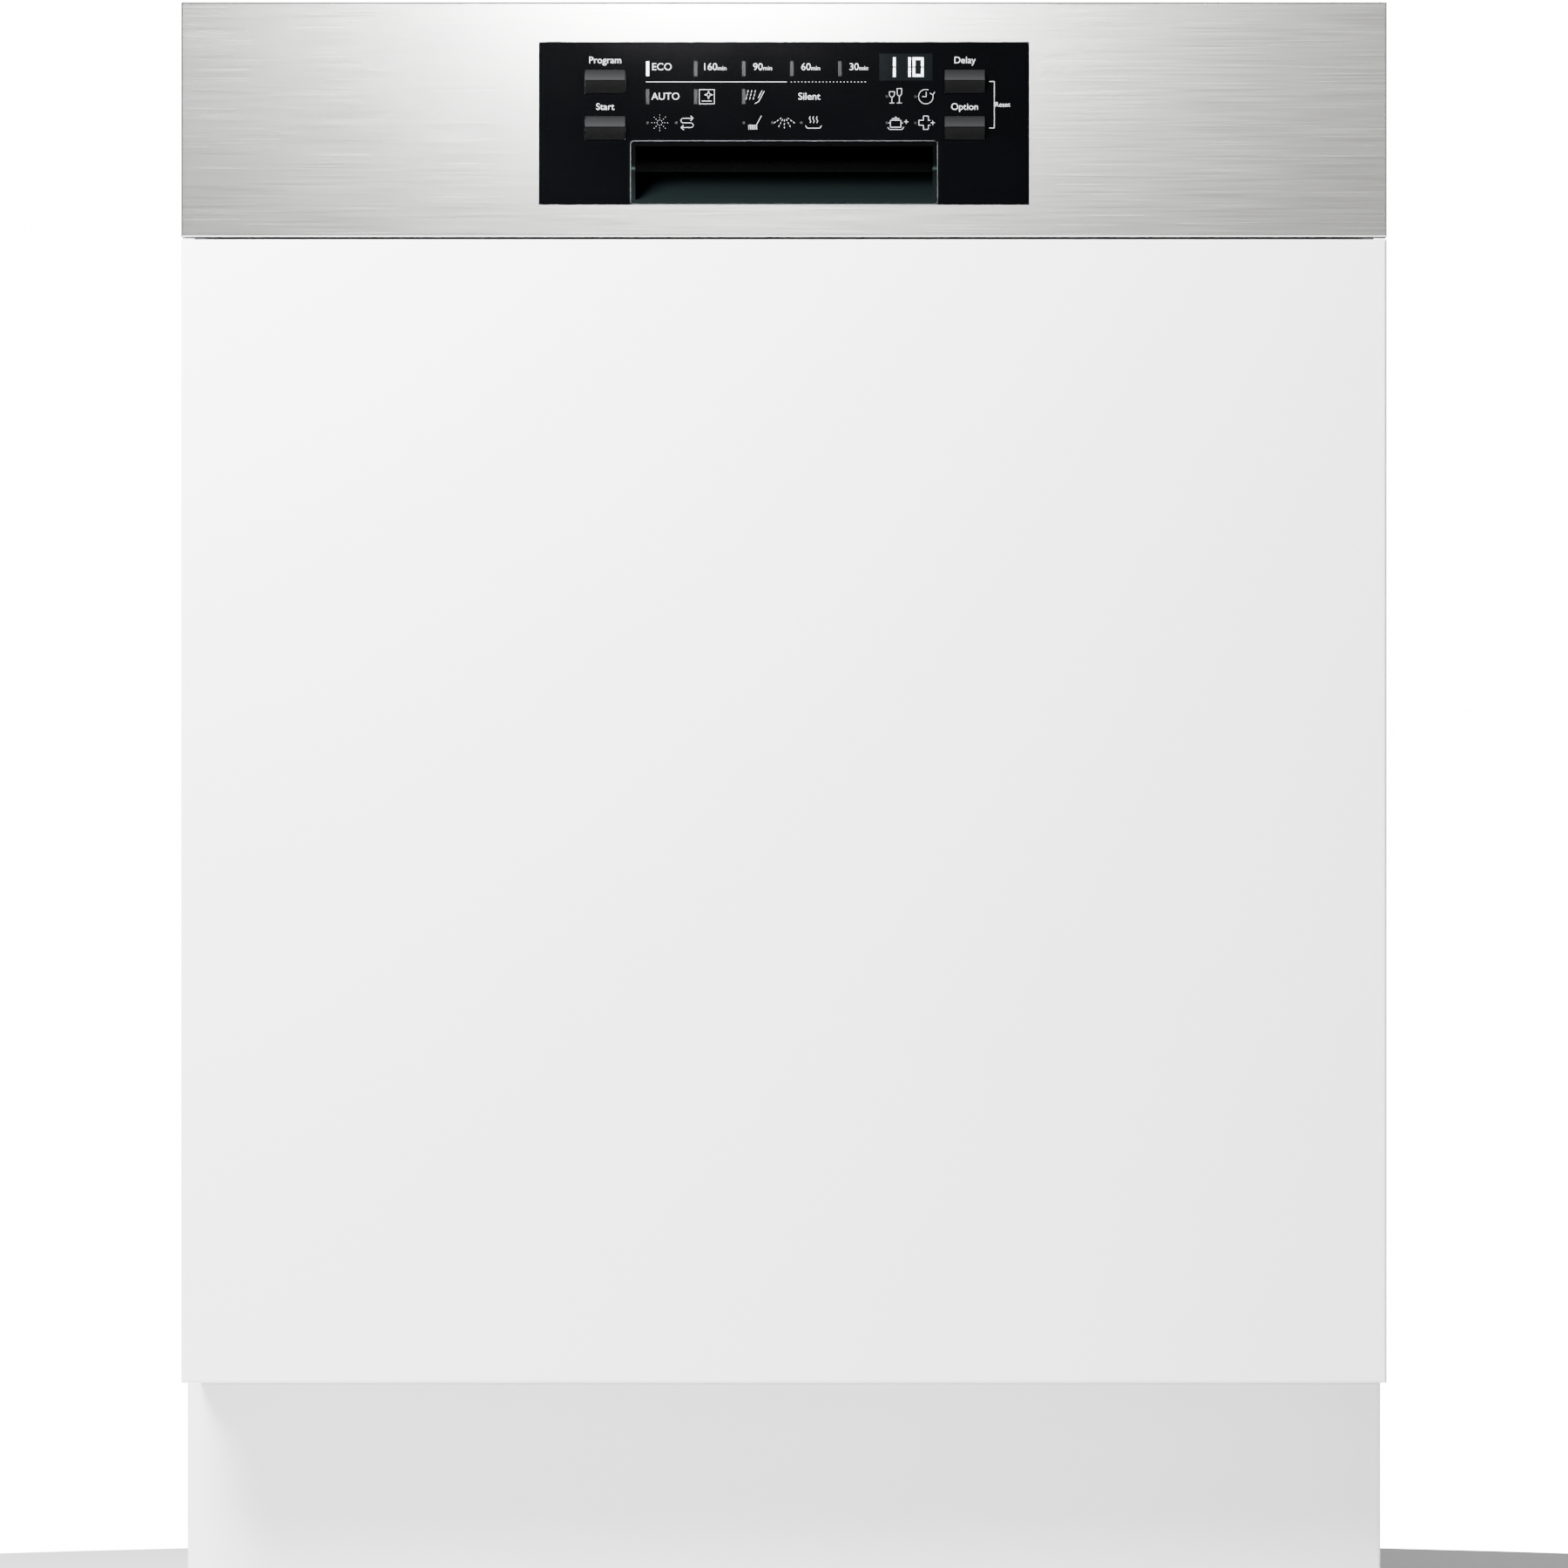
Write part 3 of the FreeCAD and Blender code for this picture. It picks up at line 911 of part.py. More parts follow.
TAIL_Y, TAIL_Z = f"({HINGE_Y} + tail_back)", "(hinge_height - tail_drop)"
arm_plate = prism("arm_plate", "YZ",
                  [(f"{HINGE_Y} - arm_width/2", "hinge_height - arm_width/2"),
                   (f"{HINGE_Y} + arm_width", "kick_top + 3"),
                   (f"{BASE_FRONT} + 1", "kick_top + 3"), (f"{BASE_FRONT} + 2", f"{TAIL_Z} - 7"),
                   (f"{TAIL_Y} + 5", f"{TAIL_Z} - 5"), (f"{TAIL_Y} + 6", "hinge_height - 8"),
                   (f"{HINGE_Y} + arm_width/2", "hinge_height + 8"),
                   (f"{HINGE_Y} + arm_width/2", "hinge_height + arm_reach"),
                   (f"{HINGE_Y} - arm_width/2", "hinge_height + arm_reach")], ARM_IN, ARM_OUT)
hinge_pin = rod("arm_pin", "X", "hinge_pin", DOOR_HALF, f"{ARM_IN} - {DOOR_HALF}", y=HINGE_Y,
                z="hinge_height")
tail_pin = rod("arm_tail_pin", "X", "tail_pin", "spring_x - 2", f"{ARM_IN} - spring_x + 2", y=TAIL_Y,
               z=TAIL_Z)
spacers = [block(f"arm_spacer_{i}", (DOOR_HALF, ARM_IN), (f"{HINGE_Y} - 6", f"{HINGE_Y} + 6"),
                 (f"hinge_height + arm_reach*{i}/3 - 8",
                  f"hinge_height + arm_reach*{i}/3 + 4")) for i in (1, 2, 3)]
arm_right = fuse("arm_right", arm_plate, hinge_pin, tail_pin, *spacers)
finish(group("arm_pair", arm_right, mirrored("arm_left", arm_right)), "hinge_arms")

coil_top = FreeCAD.Vector(num("spring_x"), num(TAIL_Y), num(TAIL_Z) - num("tail_pin") - 1)
coil_end = FreeCAD.Vector(num("spring_x"), num("anchor_y"), num("anchor_low + spring_lift"))
coil = direct("spring_right", wire_rod(coil_end, coil_top, num("spring_round")))
finish(group("spring_pair", coil, mirrored("spring_left", coil)), "door_springs")

# ---------------------------------------------------------------- door
DOOR_TOP = "(height - fascia_sheet)"
CONSOLE_LOW = f"({FASCIA_LOW} + 2)"
INSERT_BACK = f"({INSERT_FRONT} + insert_thick)"
DISP_HALF = "dispenser_wide/2"
DISP_TOP = "(dispenser_low + dispenser_tall)"
DISP_FRONT = f"({PLATEAU} + dispenser_proud)"
CUP = (("-cup_left", "-cup_left + cup_wide"),
       ("dispenser_low + cup_low", "dispenser_low + cup_low + cup_tall"))
LATCH_SLOT = rectangle(span("strike_wide/2 + 2"), (f"{STRIKE_TOP} - strike_thick - 3", f"{STRIKE_TOP} + 4"))

skin = body("outer_door")
extrude(skin, "Pad", "XZ", PANEL_BACK, f"{DOOR_BACK} - door_sheet",
        [rectangle(span(DOOR_HALF), (DOOR_LOW, CONSOLE_LOW))])
extrude(skin, "Pocket", "XZ", f"{PANEL_BACK} + door_sheet", f"{DOOR_BACK} - door_sheet",
        [rectangle(span(f"{DOOR_HALF} - door_sheet"), (f"{DOOR_LOW} + door_sheet", CONSOLE_LOW))])

liner = body("inner_door")
extrude(liner, "Pad", "XZ", f"{DOOR_BACK} - door_sheet", DOOR_BACK,
        [rectangle(span(DOOR_HALF), (DOOR_LOW, DOOR_TOP))])
extrude(liner, "Pad", "XZ", DOOR_BACK, PLATEAU,
        [rectangle(span("plateau_half"), ("plateau_low", "plateau_high"))])
round_edges(liner, "8*door_sheet",
            lambda e: along("Y")(e) and abs(e.BoundBox.XMax) < num("plateau_half") + 1)
extrude(liner, "Pocket", "XZ", f"{DOOR_BACK} - door_sheet", f"{PLATEAU} - door_sheet",
        [rectangle(span("plateau_half - 3*door_sheet"),
                   ("plateau_low + 3*door_sheet", "plateau_high - 3*door_sheet"))])
extrude(liner, "Pocket", "XZ", f"{DOOR_BACK} - door_sheet", PLATEAU,
        [rectangle(span(f"{DISP_HALF} + dispenser_gap"),
                   ("dispenser_low - dispenser_gap", f"{DISP_TOP} + dispenser_gap")),
         LATCH_SLOT])

front_panel = body("furniture_panel")
extrude(front_panel, "Pad", "XZ", PANEL_FRONT, PANEL_BACK,
        [rectangle(span(HALF), ("kick_height", PANEL_TOP))])
round_edges(front_panel, "panel_round", at_y(PANEL_FRONT))

INSERT_HOLE = rectangle(span("insert_width/2 + insert_gap"),
                        (f"{INSERT_LOW} - insert_gap", f"{INSERT_TOP} + insert_gap"))
fascia = body("fascia")
extrude(fascia, "Pad", "XZ", FACE, f"{FACE} + fascia_depth",
        [rectangle(span(HALF), (FASCIA_LOW, "height"))])
round_edges(fascia, "fascia_round - 0.2", at_y(FACE))
extrude(fascia, "Pocket", "XZ", f"{FACE} + fascia_sheet", f"{FACE} + fascia_depth",
        [rectangle(span("width/2 - fascia_sheet"),
                   (f"{FASCIA_LOW} + fascia_sheet", "height - fascia_sheet"))])
extrude(fascia, "Pocket", "XZ", FACE, f"{FACE} + fascia_sheet", [INSERT_HOLE])

POCKET_HALF = "pocket_wide/2"
OPENING = [("-(insert_width/2 - 4)", f"{INSERT_LOW} + 4"), (f"-{POCKET_HALF}", f"{INSERT_LOW} + 4"),
           (f"-{POCKET_HALF}", INSERT_LOW), (POCKET_HALF, INSERT_LOW), (POCKET_HALF, f"{INSERT_LOW} + 4"),
           ("insert_width/2 - 4", f"{INSERT_LOW} + 4"), ("insert_width/2 - 4", f"{INSERT_TOP} - 4"),
           ("-(insert_width/2 - 4)", f"{INSERT_TOP} - 4")]
PIVOT = (f"({FRAME_FRONT} - strike_reach - 18)", f"({STRIKE_TOP} + 5)")
console = body("console_housing")
extrude(console, "Pad", "XZ", INSERT_BACK, f"{DOOR_BACK} - door_sheet",
        [rectangle(span(DOOR_HALF), (CONSOLE_LOW, DOOR_TOP))])
extrude(console, "Pocket", "XZ", f"{INSERT_BACK} + console_wall", f"{DOOR_BACK} - door_sheet",
        [rectangle(span(f"{DOOR_HALF} - console_wall"),
                   (f"{CONSOLE_LOW} + console_wall", f"{DOOR_TOP} - console_wall"))])
extrude(console, "Pocket", "XZ", INSERT_BACK, f"{INSERT_BACK} + console_wall", [OPENING])
for sign in ("", "-"):
    extrude(console, "Pad", "YZ", *sorted((f"{sign}8", f"{sign}12"), key=num),
            [rectangle((f"{PIVOT[0]} - 5", f"{PIVOT[0]} + 5"),
                       (f"{PIVOT[1]} - 5", f"{DOOR_TOP} - console_wall"))])
extrude(console, "Pocket", "YZ", "-12", "12", circles=[(*PIVOT, "2 + hinge_play")])

hook = body("latch_hook")
extrude(hook, "Pad", "YZ", "-5", "5",
        [[(f"{PIVOT[0]} - 4", f"{STRIKE_TOP} + 1.5"),
          (f"{FRAME_FRONT} - strike_reach + 1", f"{STRIKE_TOP} + 1.5"),
          (f"{FRAME_FRONT} - strike_reach + 3", f"{STRIKE_TOP} + 0.5"),
          (f"{FRAME_FRONT} - strike_thick - 5", f"{STRIKE_TOP} + 0.5"),
          (f"{FRAME_FRONT} - strike_thick - 4", f"{STRIKE_TOP} + 3"),
          (f"{PIVOT[0]} - 4", f"{STRIKE_TOP} + 8")]])
extrude(hook, "Pad", "YZ", "-11", "11", circles=[(*PIVOT, "2")])

LENS_ROWS = (("lens_row_one", range(5)), ("lens_row_two", range(3)))
lens_bars = [(f"lens_left + {i}*lens_pitch", f"height - {row}") for row,
             places in LENS_ROWS for i in places]
lens_dots = [(f"lens_left + {dx}", "height - lens_row_three")
             for dx in ("0", "lens_right_pitch", "2*lens_pitch", "2*lens_pitch + lens_right_pitch",
                        "2*lens_pitch + 2*lens_right_pitch")]
lens_dots += [(f"lens_right + {i}*lens_right_pitch", f"height - {row}") for i in (0, 1)
              for row in ("lens_row_two", "lens_row_three")]
BUTTONS = {"program_button": ("-button_left", "button_upper_drop"),
           "start_button": ("-button_left", "button_lower_drop"),
           "delay_button": ("button_right", "button_upper_drop"),
           "option_button": ("button_right", "button_lower_drop")}
DISPLAY = rectangle(("display_x - display_wide/2", "display_x + display_wide/2"),
                    ("height - display_drop - display_tall/2", "height - display_drop + display_tall/2"))


def around(x, z, half_x, half_z):
    return rectangle((f"{x} - {half_x}", f"{x} + {half_x}"), (f"{z} - {half_z}", f"{z} + {half_z}"))


insert = body("control_insert")
extrude(insert, "Pad", "XZ", INSERT_FRONT, INSERT_BACK,
        [rectangle(span("insert_width/2"), (INSERT_LOW, INSERT_TOP))])
round_edges(insert, "insert_round", along("Y"))
button_holes = [around(x, f"height - {drop}", "(button_wide/2 + button_gap)",
                       "(button_tall/2 + button_gap)")
                for x, drop in BUTTONS.values()]
extrude(insert, "Pocket", "XZ", INSERT_FRONT, INSERT_BACK, button_holes + [DISPLAY] + [
    rectangle(span(f"{POCKET_HALF} + pocket_gap"), (f"{INSERT_LOW} - 1", f"{POCKET_TOP} + pocket_gap"))])
extrude(insert, "Pocket", "XZ", INSERT_FRONT, INSERT_BACK,
        [around(x, z, "lens_wide/2", "lens_tall/2") for x, z in lens_bars],
        [(x, z, "lens_dot/2") for x, z in lens_dots])

LENS_FRONT = f"({INSERT_FRONT} - lens_proud)"
bars = [block(f"lens_bar_{i}", (f"{x} - lens_wide/2", f"{x} + lens_wide/2"), (LENS_FRONT, INSERT_BACK),
              (f"{z} - lens_tall/2", f"{z} + lens_tall/2")) for i, (x, z) in enumerate(lens_bars)]
dots = [rod(f"lens_dot_{i}", "Y", "lens_dot/2", LENS_FRONT, f"{INSERT_BACK} - {LENS_FRONT}", x=x, z=z)
        for i, (x, z) in enumerate(lens_dots)]
finish(group("lenses", *bars, *dots), "indicator_lenses")

window = body("display_window")
extrude(window, "Pad", "XZ", INSERT_FRONT, f"{INSERT_FRONT} + display_thick", [DISPLAY])

GRIP_TOP = f"({POCKET_TOP} + pocket_rise)"
GRIP_BACK = f"({INSERT_FRONT} + pocket_deep)"
grip = body("handle_pocket")
extrude(grip, "Pad", "YZ", f"-{POCKET_HALF}", POCKET_HALF,
        [[(INSERT_FRONT, INSERT_LOW), (GRIP_BACK, INSERT_LOW), (GRIP_BACK, GRIP_TOP),
          (INSERT_BACK, GRIP_TOP),
          (INSERT_BACK, POCKET_TOP), (INSERT_FRONT, POCKET_TOP)]])
extrude(grip, "Pocket", "YZ", f"-({POCKET_HALF} - pocket_wall)", f"{POCKET_HALF} - pocket_wall",
        [[(f"{INSERT_FRONT} - 1", f"{INSERT_LOW} + pocket_wall"),
          (f"{INSERT_FRONT} + 2", f"{INSERT_LOW} + pocket_wall"),
          (f"{GRIP_BACK} - pocket_wall", f"{INSERT_LOW} + pocket_slope"),
          (f"{GRIP_BACK} - pocket_wall", f"{GRIP_TOP} - pocket_wall"),
          (f"{INSERT_BACK} + pocket_wall", f"{GRIP_TOP} - pocket_wall"),
          (f"{INSERT_BACK} + pocket_wall", f"{POCKET_TOP} - pocket_lip"),
          (f"{INSERT_FRONT} - 1", f"{POCKET_TOP} - pocket_wall")]])

for label, (x, drop) in BUTTONS.items():
    z = f"(height - {drop})"
    ridge, edge = f"({FACE} - button_proud)", f"({FACE} - button_proud + button_wedge)"
    key = body(label)
    extrude(key, "Pad", "YZ", f"{x} - button_wide/2", f"{x} + button_wide/2",
            [[(ridge, z), (edge, f"{z} - button_tall/2"),
              (f"{ridge} + button_deep", f"{z} - button_tall/2"),
              (f"{ridge} + button_deep", f"{z} + button_tall/2"), (edge, f"{z} + button_tall/2")]])

BOARD_FRONT = f"({FACE} - button_proud + button_deep + button_travel + 1)"
board = body("control_board")
extrude(board, "Pad", "XZ", BOARD_FRONT, f"{BOARD_FRONT} + board_thick",
        [[("-board_wide/2", f"{INSERT_TOP} - board_tall - 16"),
          (f"-{POCKET_HALF} - 2", f"{INSERT_TOP} - board_tall - 16"),
          (f"-{POCKET_HALF} - 2", f"{GRIP_TOP} + 1"), (f"{POCKET_HALF} + 2", f"{GRIP_TOP} + 1"),
          (f"{POCKET_HALF} + 2", f"{INSERT_TOP} - board_tall - 16"),
          ("board_wide/2", f"{INSERT_TOP} - board_tall - 16"),
          ("board_wide/2", f"{INSERT_TOP} - 5"), ("-board_wide/2", f"{INSERT_TOP} - 5")]])
stand_offs = []
for sign in ("", "-"):
    for drop in ("stand_off_high", "stand_off_low"):
        stand_offs.append((f"{sign}(board_wide/2 - 4)", f"{INSERT_TOP} - {drop}", "stand_off_round"))
extrude(board, "Pad", "XZ", INSERT_BACK, BOARD_FRONT, circles=stand_offs)

dispenser = body("dispenser_body")
extrude(dispenser, "Pad", "XZ", f"{DISP_FRONT} - dispenser_deep", PLATEAU,
        [rectangle(span(DISP_HALF), ("dispenser_low", DISP_TOP))])
extrude(dispenser, "Pad", "XZ", PLATEAU, DISP_FRONT,
        [rectangle(span(f"{DISP_HALF} + 5"), ("dispenser_low - 5", f"{DISP_TOP} + 5"))])
extrude(dispenser, "Pocket", "XZ", f"{DISP_FRONT} - cup_deep", DISP_FRONT, [rectangle(*CUP)])

LID_FRONT = f"({DISP_FRONT} + lid_gap)"
lid = body("detergent_lid")
extrude(lid, "Pad", "XZ", LID_FRONT, f"{LID_FRONT} + lid_thick",
        [rectangle((f"{CUP[0][0]} - lid_lap", f"{CUP[0][1]} + lid_lap"),
                   (f"{CUP[1][0]} - lid_lap", f"{CUP[1][1]} + lid_lap"))])
extrude(lid, "Pad", "XZ", f"{LID_FRONT} + lid_thick", f"{LID_FRONT} + 2*lid_thick",
        [rectangle(("-cup_left + 4", "-cup_left + 10"), (f"{CUP[1][0]} + 6", f"{CUP[1][1]} - 6"))])

rinse = body("rinse_aid_cap")
extrude(rinse, "Pad", "XZ", LID_FRONT, f"{LID_FRONT} + rinse_thick",
        circles=[("rinse_x", "dispenser_low + rinse_z", "rinse_round")])
extrude(rinse, "Pad", "XZ", f"{LID_FRONT} + rinse_thick", f"{LID_FRONT} + rinse_thick + rinse_grip",
        [rectangle(("rinse_x - 12", "rinse_x + 12"),
                   ("dispenser_low + rinse_z - 3", "dispenser_low + rinse_z + 3"))])

# ---------------------------------------------------------------- checks and export
doc.recompute()
for thing in doc.Objects:
    bad = [state for state in thing.State if state in ("Invalid", "Error")]
    if bad:
        raise RuntimeError(f"{thing.Label}: {bad}")
os.makedirs("parts", exist_ok=True)
for thing in finished:
    if thing.Shape.isNull() or not thing.Shape.isValid() or not thing.Shape.Solids:
        raise RuntimeError(f"{thing.Label} has no good solid")
    thing.Shape.exportStep(f"parts/{thing.Label}.step")
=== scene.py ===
"""Built-in dishwasher: finishes, fine pieces and studio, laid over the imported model."""
import json
import math
from contextlib import contextmanager

import bpy
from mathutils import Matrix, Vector


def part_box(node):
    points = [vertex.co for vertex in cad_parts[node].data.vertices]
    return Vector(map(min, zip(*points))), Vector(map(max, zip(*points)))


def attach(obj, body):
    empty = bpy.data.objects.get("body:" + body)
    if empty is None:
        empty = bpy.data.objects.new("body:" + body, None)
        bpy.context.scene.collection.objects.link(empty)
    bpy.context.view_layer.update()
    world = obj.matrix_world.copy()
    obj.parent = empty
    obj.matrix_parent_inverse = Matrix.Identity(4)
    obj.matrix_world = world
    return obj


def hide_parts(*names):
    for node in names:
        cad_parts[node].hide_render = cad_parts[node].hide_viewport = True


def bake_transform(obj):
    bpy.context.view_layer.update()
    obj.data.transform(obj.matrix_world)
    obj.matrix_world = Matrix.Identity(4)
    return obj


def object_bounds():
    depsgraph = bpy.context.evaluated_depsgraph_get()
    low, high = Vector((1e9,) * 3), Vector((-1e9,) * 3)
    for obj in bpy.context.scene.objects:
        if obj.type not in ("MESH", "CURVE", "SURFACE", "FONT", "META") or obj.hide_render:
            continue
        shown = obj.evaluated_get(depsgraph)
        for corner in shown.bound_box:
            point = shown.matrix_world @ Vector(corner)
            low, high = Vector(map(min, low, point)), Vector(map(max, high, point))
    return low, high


bl_info = {
    "name": "Built-in dishwasher",
    "version": (1, 0, 0),
    "blender": (4, 5, 0),
    "location": "View3D > Sidebar > Dishwasher",
    "description": "Finishes a built-in dishwasher: marks, wires, springs, seals and studio light",
    "category": "Object",
}

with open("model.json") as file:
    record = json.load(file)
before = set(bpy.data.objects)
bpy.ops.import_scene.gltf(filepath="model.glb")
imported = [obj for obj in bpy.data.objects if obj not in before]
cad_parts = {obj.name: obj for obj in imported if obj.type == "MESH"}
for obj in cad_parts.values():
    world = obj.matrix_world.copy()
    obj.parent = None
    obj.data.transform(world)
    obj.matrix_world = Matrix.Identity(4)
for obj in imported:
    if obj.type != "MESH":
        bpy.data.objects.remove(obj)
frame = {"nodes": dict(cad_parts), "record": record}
CAD_BOX = [list(corner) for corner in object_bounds()]
NODES = frame["nodes"]
BODY_OF = {node: body for body, nodes in frame["record"]["behaviour"]["bodies"].items() for node in nodes}
MM = 0.001
MOUTH_TALL = 31.6  # of the grip pocket, in mm


# ---------------------------------------------------------------- settings
def length(name, description, default):
    return bpy.props.FloatProperty(name=name, description=description, default=default, unit="LENGTH")


def power(name, description, default):
    return bpy.props.FloatProperty(name=name, description=description, default=default, min=0)


def colour(name, description, default):
    return bpy.props.FloatVectorProperty(
        name=name, description=description, default=default, subtype="COLOR", size=3, min=0, max=1)


class DISHWASHER_PG_finishes(bpy.types.PropertyGroup):
    """Colours of the finishes."""
    steel: colour("Fascia steel", "Colour of the brushed fascia", (0.60, 0.595, 0.58))
    tub: colour("Tub steel", "Colour of the tub and the inner door", (0.55, 0.56, 0.57))
    zinc: colour("Zinc coat", "Colour of the galvanised sheet", (0.50, 0.52, 0.54))
    lacquer: colour("Front lacquer", "Colour of the furniture panel and the plinth", (0.86, 0.86, 0.865))
    gloss: colour("Control insert", "Colour of the gloss black insert", (0.0006, 0.0007, 0.0009))
    grip: colour("Grip pocket", "Colour of the pocket's inside", (0.0022, 0.0034, 0.0034))
    button: colour("Buttons", "Colour of the satin dark buttons", (0.0075, 0.0078, 0.0080))
    marks: colour("Marks", "Colour of the printed marks", (0.85, 0.87, 0.90))
    display: colour("Display", "Colour of the dark display window", (0.0013, 0.0019, 0.0022))
    moulding: colour("Grey moulding", "Colour of the light grey plastic pieces", (0.42, 0.44, 0.47))
    tray: colour("Base moulding", "Colour of the dark plastic base and frame", (0.035, 0.038, 0.042))
    wire: colour("Coated wire", "Colour of the nylon coat on the baskets", (0.40, 0.42, 0.45))
    rubber: colour("Seal rubber", "Colour of the door seal", (0.020, 0.020, 0.021))
    felt: colour("Mat felt", "Colour of the sound-deadening mats", (0.055, 0.050, 0.046))


class DISHWASHER_PG_marks(bpy.types.PropertyGroup):
    """Sizes of the printed marks on the control insert."""
    caps: length("Capital height", "Height of the capital letters", 3.5 * MM)
    small: length("Small capital height", "Height of the small labels", 2.6 * MM)
    raise_by: length("Ink thickness", "How far the print stands off the insert", 0.06 * MM)
    label_gap: length("Label gap", "From a button's top edge to the middle of its label", 4.6 * MM)
    lamp_left: length("First lamp", "Centre of the first programme lamp on X", -67.4 * MM)
    lamp_pitch: length("Lamp pitch", "Distance between programme lamps", 23.75 * MM)
    row_one: length("First row", "Depth of the first lamp row below the top edge", 32.9 * MM)
    row_two: length("Second row", "Depth of the second lamp row below the top edge", 46.7 * MM)
    row_three: length("Third row", "Depth of the third lamp row below the top edge", 59.6 * MM)
    line: length("Sign line", "Width of the strokes of the signs", 0.27 * MM)
    digit: length("Digit height", "Height of the display's figures", 9.6 * MM)


class DISHWASHER_PG_racks(bpy.types.PropertyGroup):
    """Sizes of the wire baskets."""
    half: length("Half width", "Half the width over the rim wires", 238 * MM)
    wire: length("Wire", "Diameter of the floor wires and tines", 4 * MM)
    rim_wire: length("Rim wire", "Diameter of the rim wires", 5 * MM)
    edge: length("Edge", "From the outline to the first wire", 22 * MM)
    pitch: length("Wire pitch", "About the distance between floor wires", 32 * MM)
    cross_pitch: length("Cross pitch", "About the distance between cross wires", 41.6 * MM)
    bend: length("Bend", "How far from the corner a wire starts to bend", 14 * MM)
    corner: length("Rim corner", "How far from the corner a rim starts to bend", 28 * MM)


class DISHWASHER_PG_studio(bpy.types.PropertyGroup):
    """Camera and lights."""
    distance: length("Camera distance", "From the front face to the camera", 5.4)
    eye: length("Camera height", "Height of the camera above the floor", 0.4316)
    field: length("Field width", "Width that the camera takes in at the front face", 0.7746)
    key: power("Key light", "Power of the key light", 120)
    strip: power("Front strip", "Power of the strip light", 9)
    fill: power("Fill light", "Power of the fill light", 12)
    sky: power("Room light", "Brightness of the room", 0.5)
    backdrop: power("Backdrop", "Brightness of the backdrop as seen", 16)


# ---------------------------------------------------------------- materials
made = {}
finish_of = {}
EVEN = (1, 1, 1)
RAMP = (0.3, 0.7)  # the part of a texture's range that its variation is spread over


def shader(name, **sockets):
    """A material whose Principled shader has these sockets set: words with _ for spaces."""
    material = made[name] = bpy.data.materials.new(name)
    material.use_nodes = True
    surface = material.node_tree.nodes["Principled BSDF"]
    for socket, value in sockets.items():
        surface.inputs[socket.replace("_", " ")].default_value = value
    return material.node_tree, surface


def node(tree, kind, **inputs):
    """A shader node with these inputs set: words with _ for spaces."""
    added = tree.nodes.new("ShaderNode" + kind)
    for name, value in inputs.items():
        added.inputs[name.replace("_", " ")].default_value = value
    return added


def object_pattern(tree, stretch, scale, detail=4.0, kind="TexNoise"):
    """A texture on Object coordinates, stretched along the axes."""
    where, mapping = node(tree, "TexCoord"), node(tree, "Mapping", Scale=stretch)
    texture = node(tree, kind, Scale=scale)
    if "Detail" in texture.inputs:
        texture.inputs["Detail"].default_value = detail
    tree.links.new(where.outputs["Object"], mapping.inputs["Vector"])
    tree.links.new(mapping.outputs["Vector"], texture.inputs["Vector"])
    return texture


def tint(tree, surface, texture, base, vary, output=0):
    """Base colour that moves between a darker and a lighter shade of base with the texture."""
    ramp = node(tree, "ValToRGB")
    for stop, place, gain in zip(ramp.color_ramp.elements, RAMP, (1 - vary, 1 + vary)):
        stop.position = place
        stop.color = (*[min(1, c * gain) for c in base], 1)
    tree.links.new(texture.outputs[output], ramp.inputs["Fac"])
    tree.links.new(ramp.outputs["Color"], surface.inputs["Base Color"])
    return ramp


def banded(tree, surface, base, start, tall, stops, apart=1.0):
    """Base colour in bands of height: stops are shares of tall and gains, repeated every apart metres."""
    where, split, ramp = (node(tree, kind) for kind in ("TexCoord", "SeparateXYZ", "ValToRGB"))
    tree.links.new(where.outputs["Object"], split.inputs[0])
    height = split.outputs["Z"]
    for operation, amount in (("SUBTRACT", start), ("MODULO", apart), ("DIVIDE", tall)):
        step = node(tree, "Math")
        step.operation = operation
        step.inputs[1].default_value = amount
        tree.links.new(height, step.inputs[0])
        height = step.outputs[0]
    for place, gain in stops:
        ramp.color_ramp.elements.new(place).color = (*[c * gain for c in base], 1)
    for end in (0, -1):
        ramp.color_ramp.elements.remove(ramp.color_ramp.elements[end])
    tree.links.new(height, ramp.inputs["Fac"])
    tree.links.new(ramp.outputs["Color"], surface.inputs["Base Color"])


def vary_roughness(tree, surface, texture, low, high, output=0):
    spread = node(tree, "MapRange", From_Min=RAMP[0], From_Max=RAMP[1], To_Min=low, To_Max=high)
    tree.links.new(texture.outputs[output], spread.inputs["Value"])
    tree.links.new(spread.outputs["Result"], surface.inputs["Roughness"])


def bump(tree, surface, texture, strength, distance):
    relief = node(tree, "Bump", Strength=strength, Distance=distance)
    tree.links.new(texture.outputs[0], relief.inputs["Height"])
    tree.links.new(relief.outputs["Normal"], surface.inputs["Normal"])


def brushed(name, base, stretch, scale, low, high, vary=0.05, anisotropy=0.6):
    """Metal with fine lines along the axis that stretch leaves long."""
    tree, surface = shader(name, Metallic=1.0, Anisotropic=anisotropy)
    lines = object_pattern(tree, stretch, scale, 6)
    tint(tree, surface, lines, base, vary)
    vary_roughness(tree, surface, lines, low, high)
    bump(tree, surface, lines, 0.12, 0.00004)


def moulded(name, base, low, high, grain=900, relief=0.00005, vary=0.06, **sockets):
    """Plastic with a fine moulded grain and soft clouds of wear in its gloss."""
    tree, surface = shader(name, **sockets)
    clouds = object_pattern(tree, EVEN, 14, 3)
    tint(tree, surface, clouds, base, vary)
    vary_roughness(tree, surface, clouds, low, high)
    bump(tree, surface, object_pattern(tree, EVEN, grain, 2), 0.25, relief)


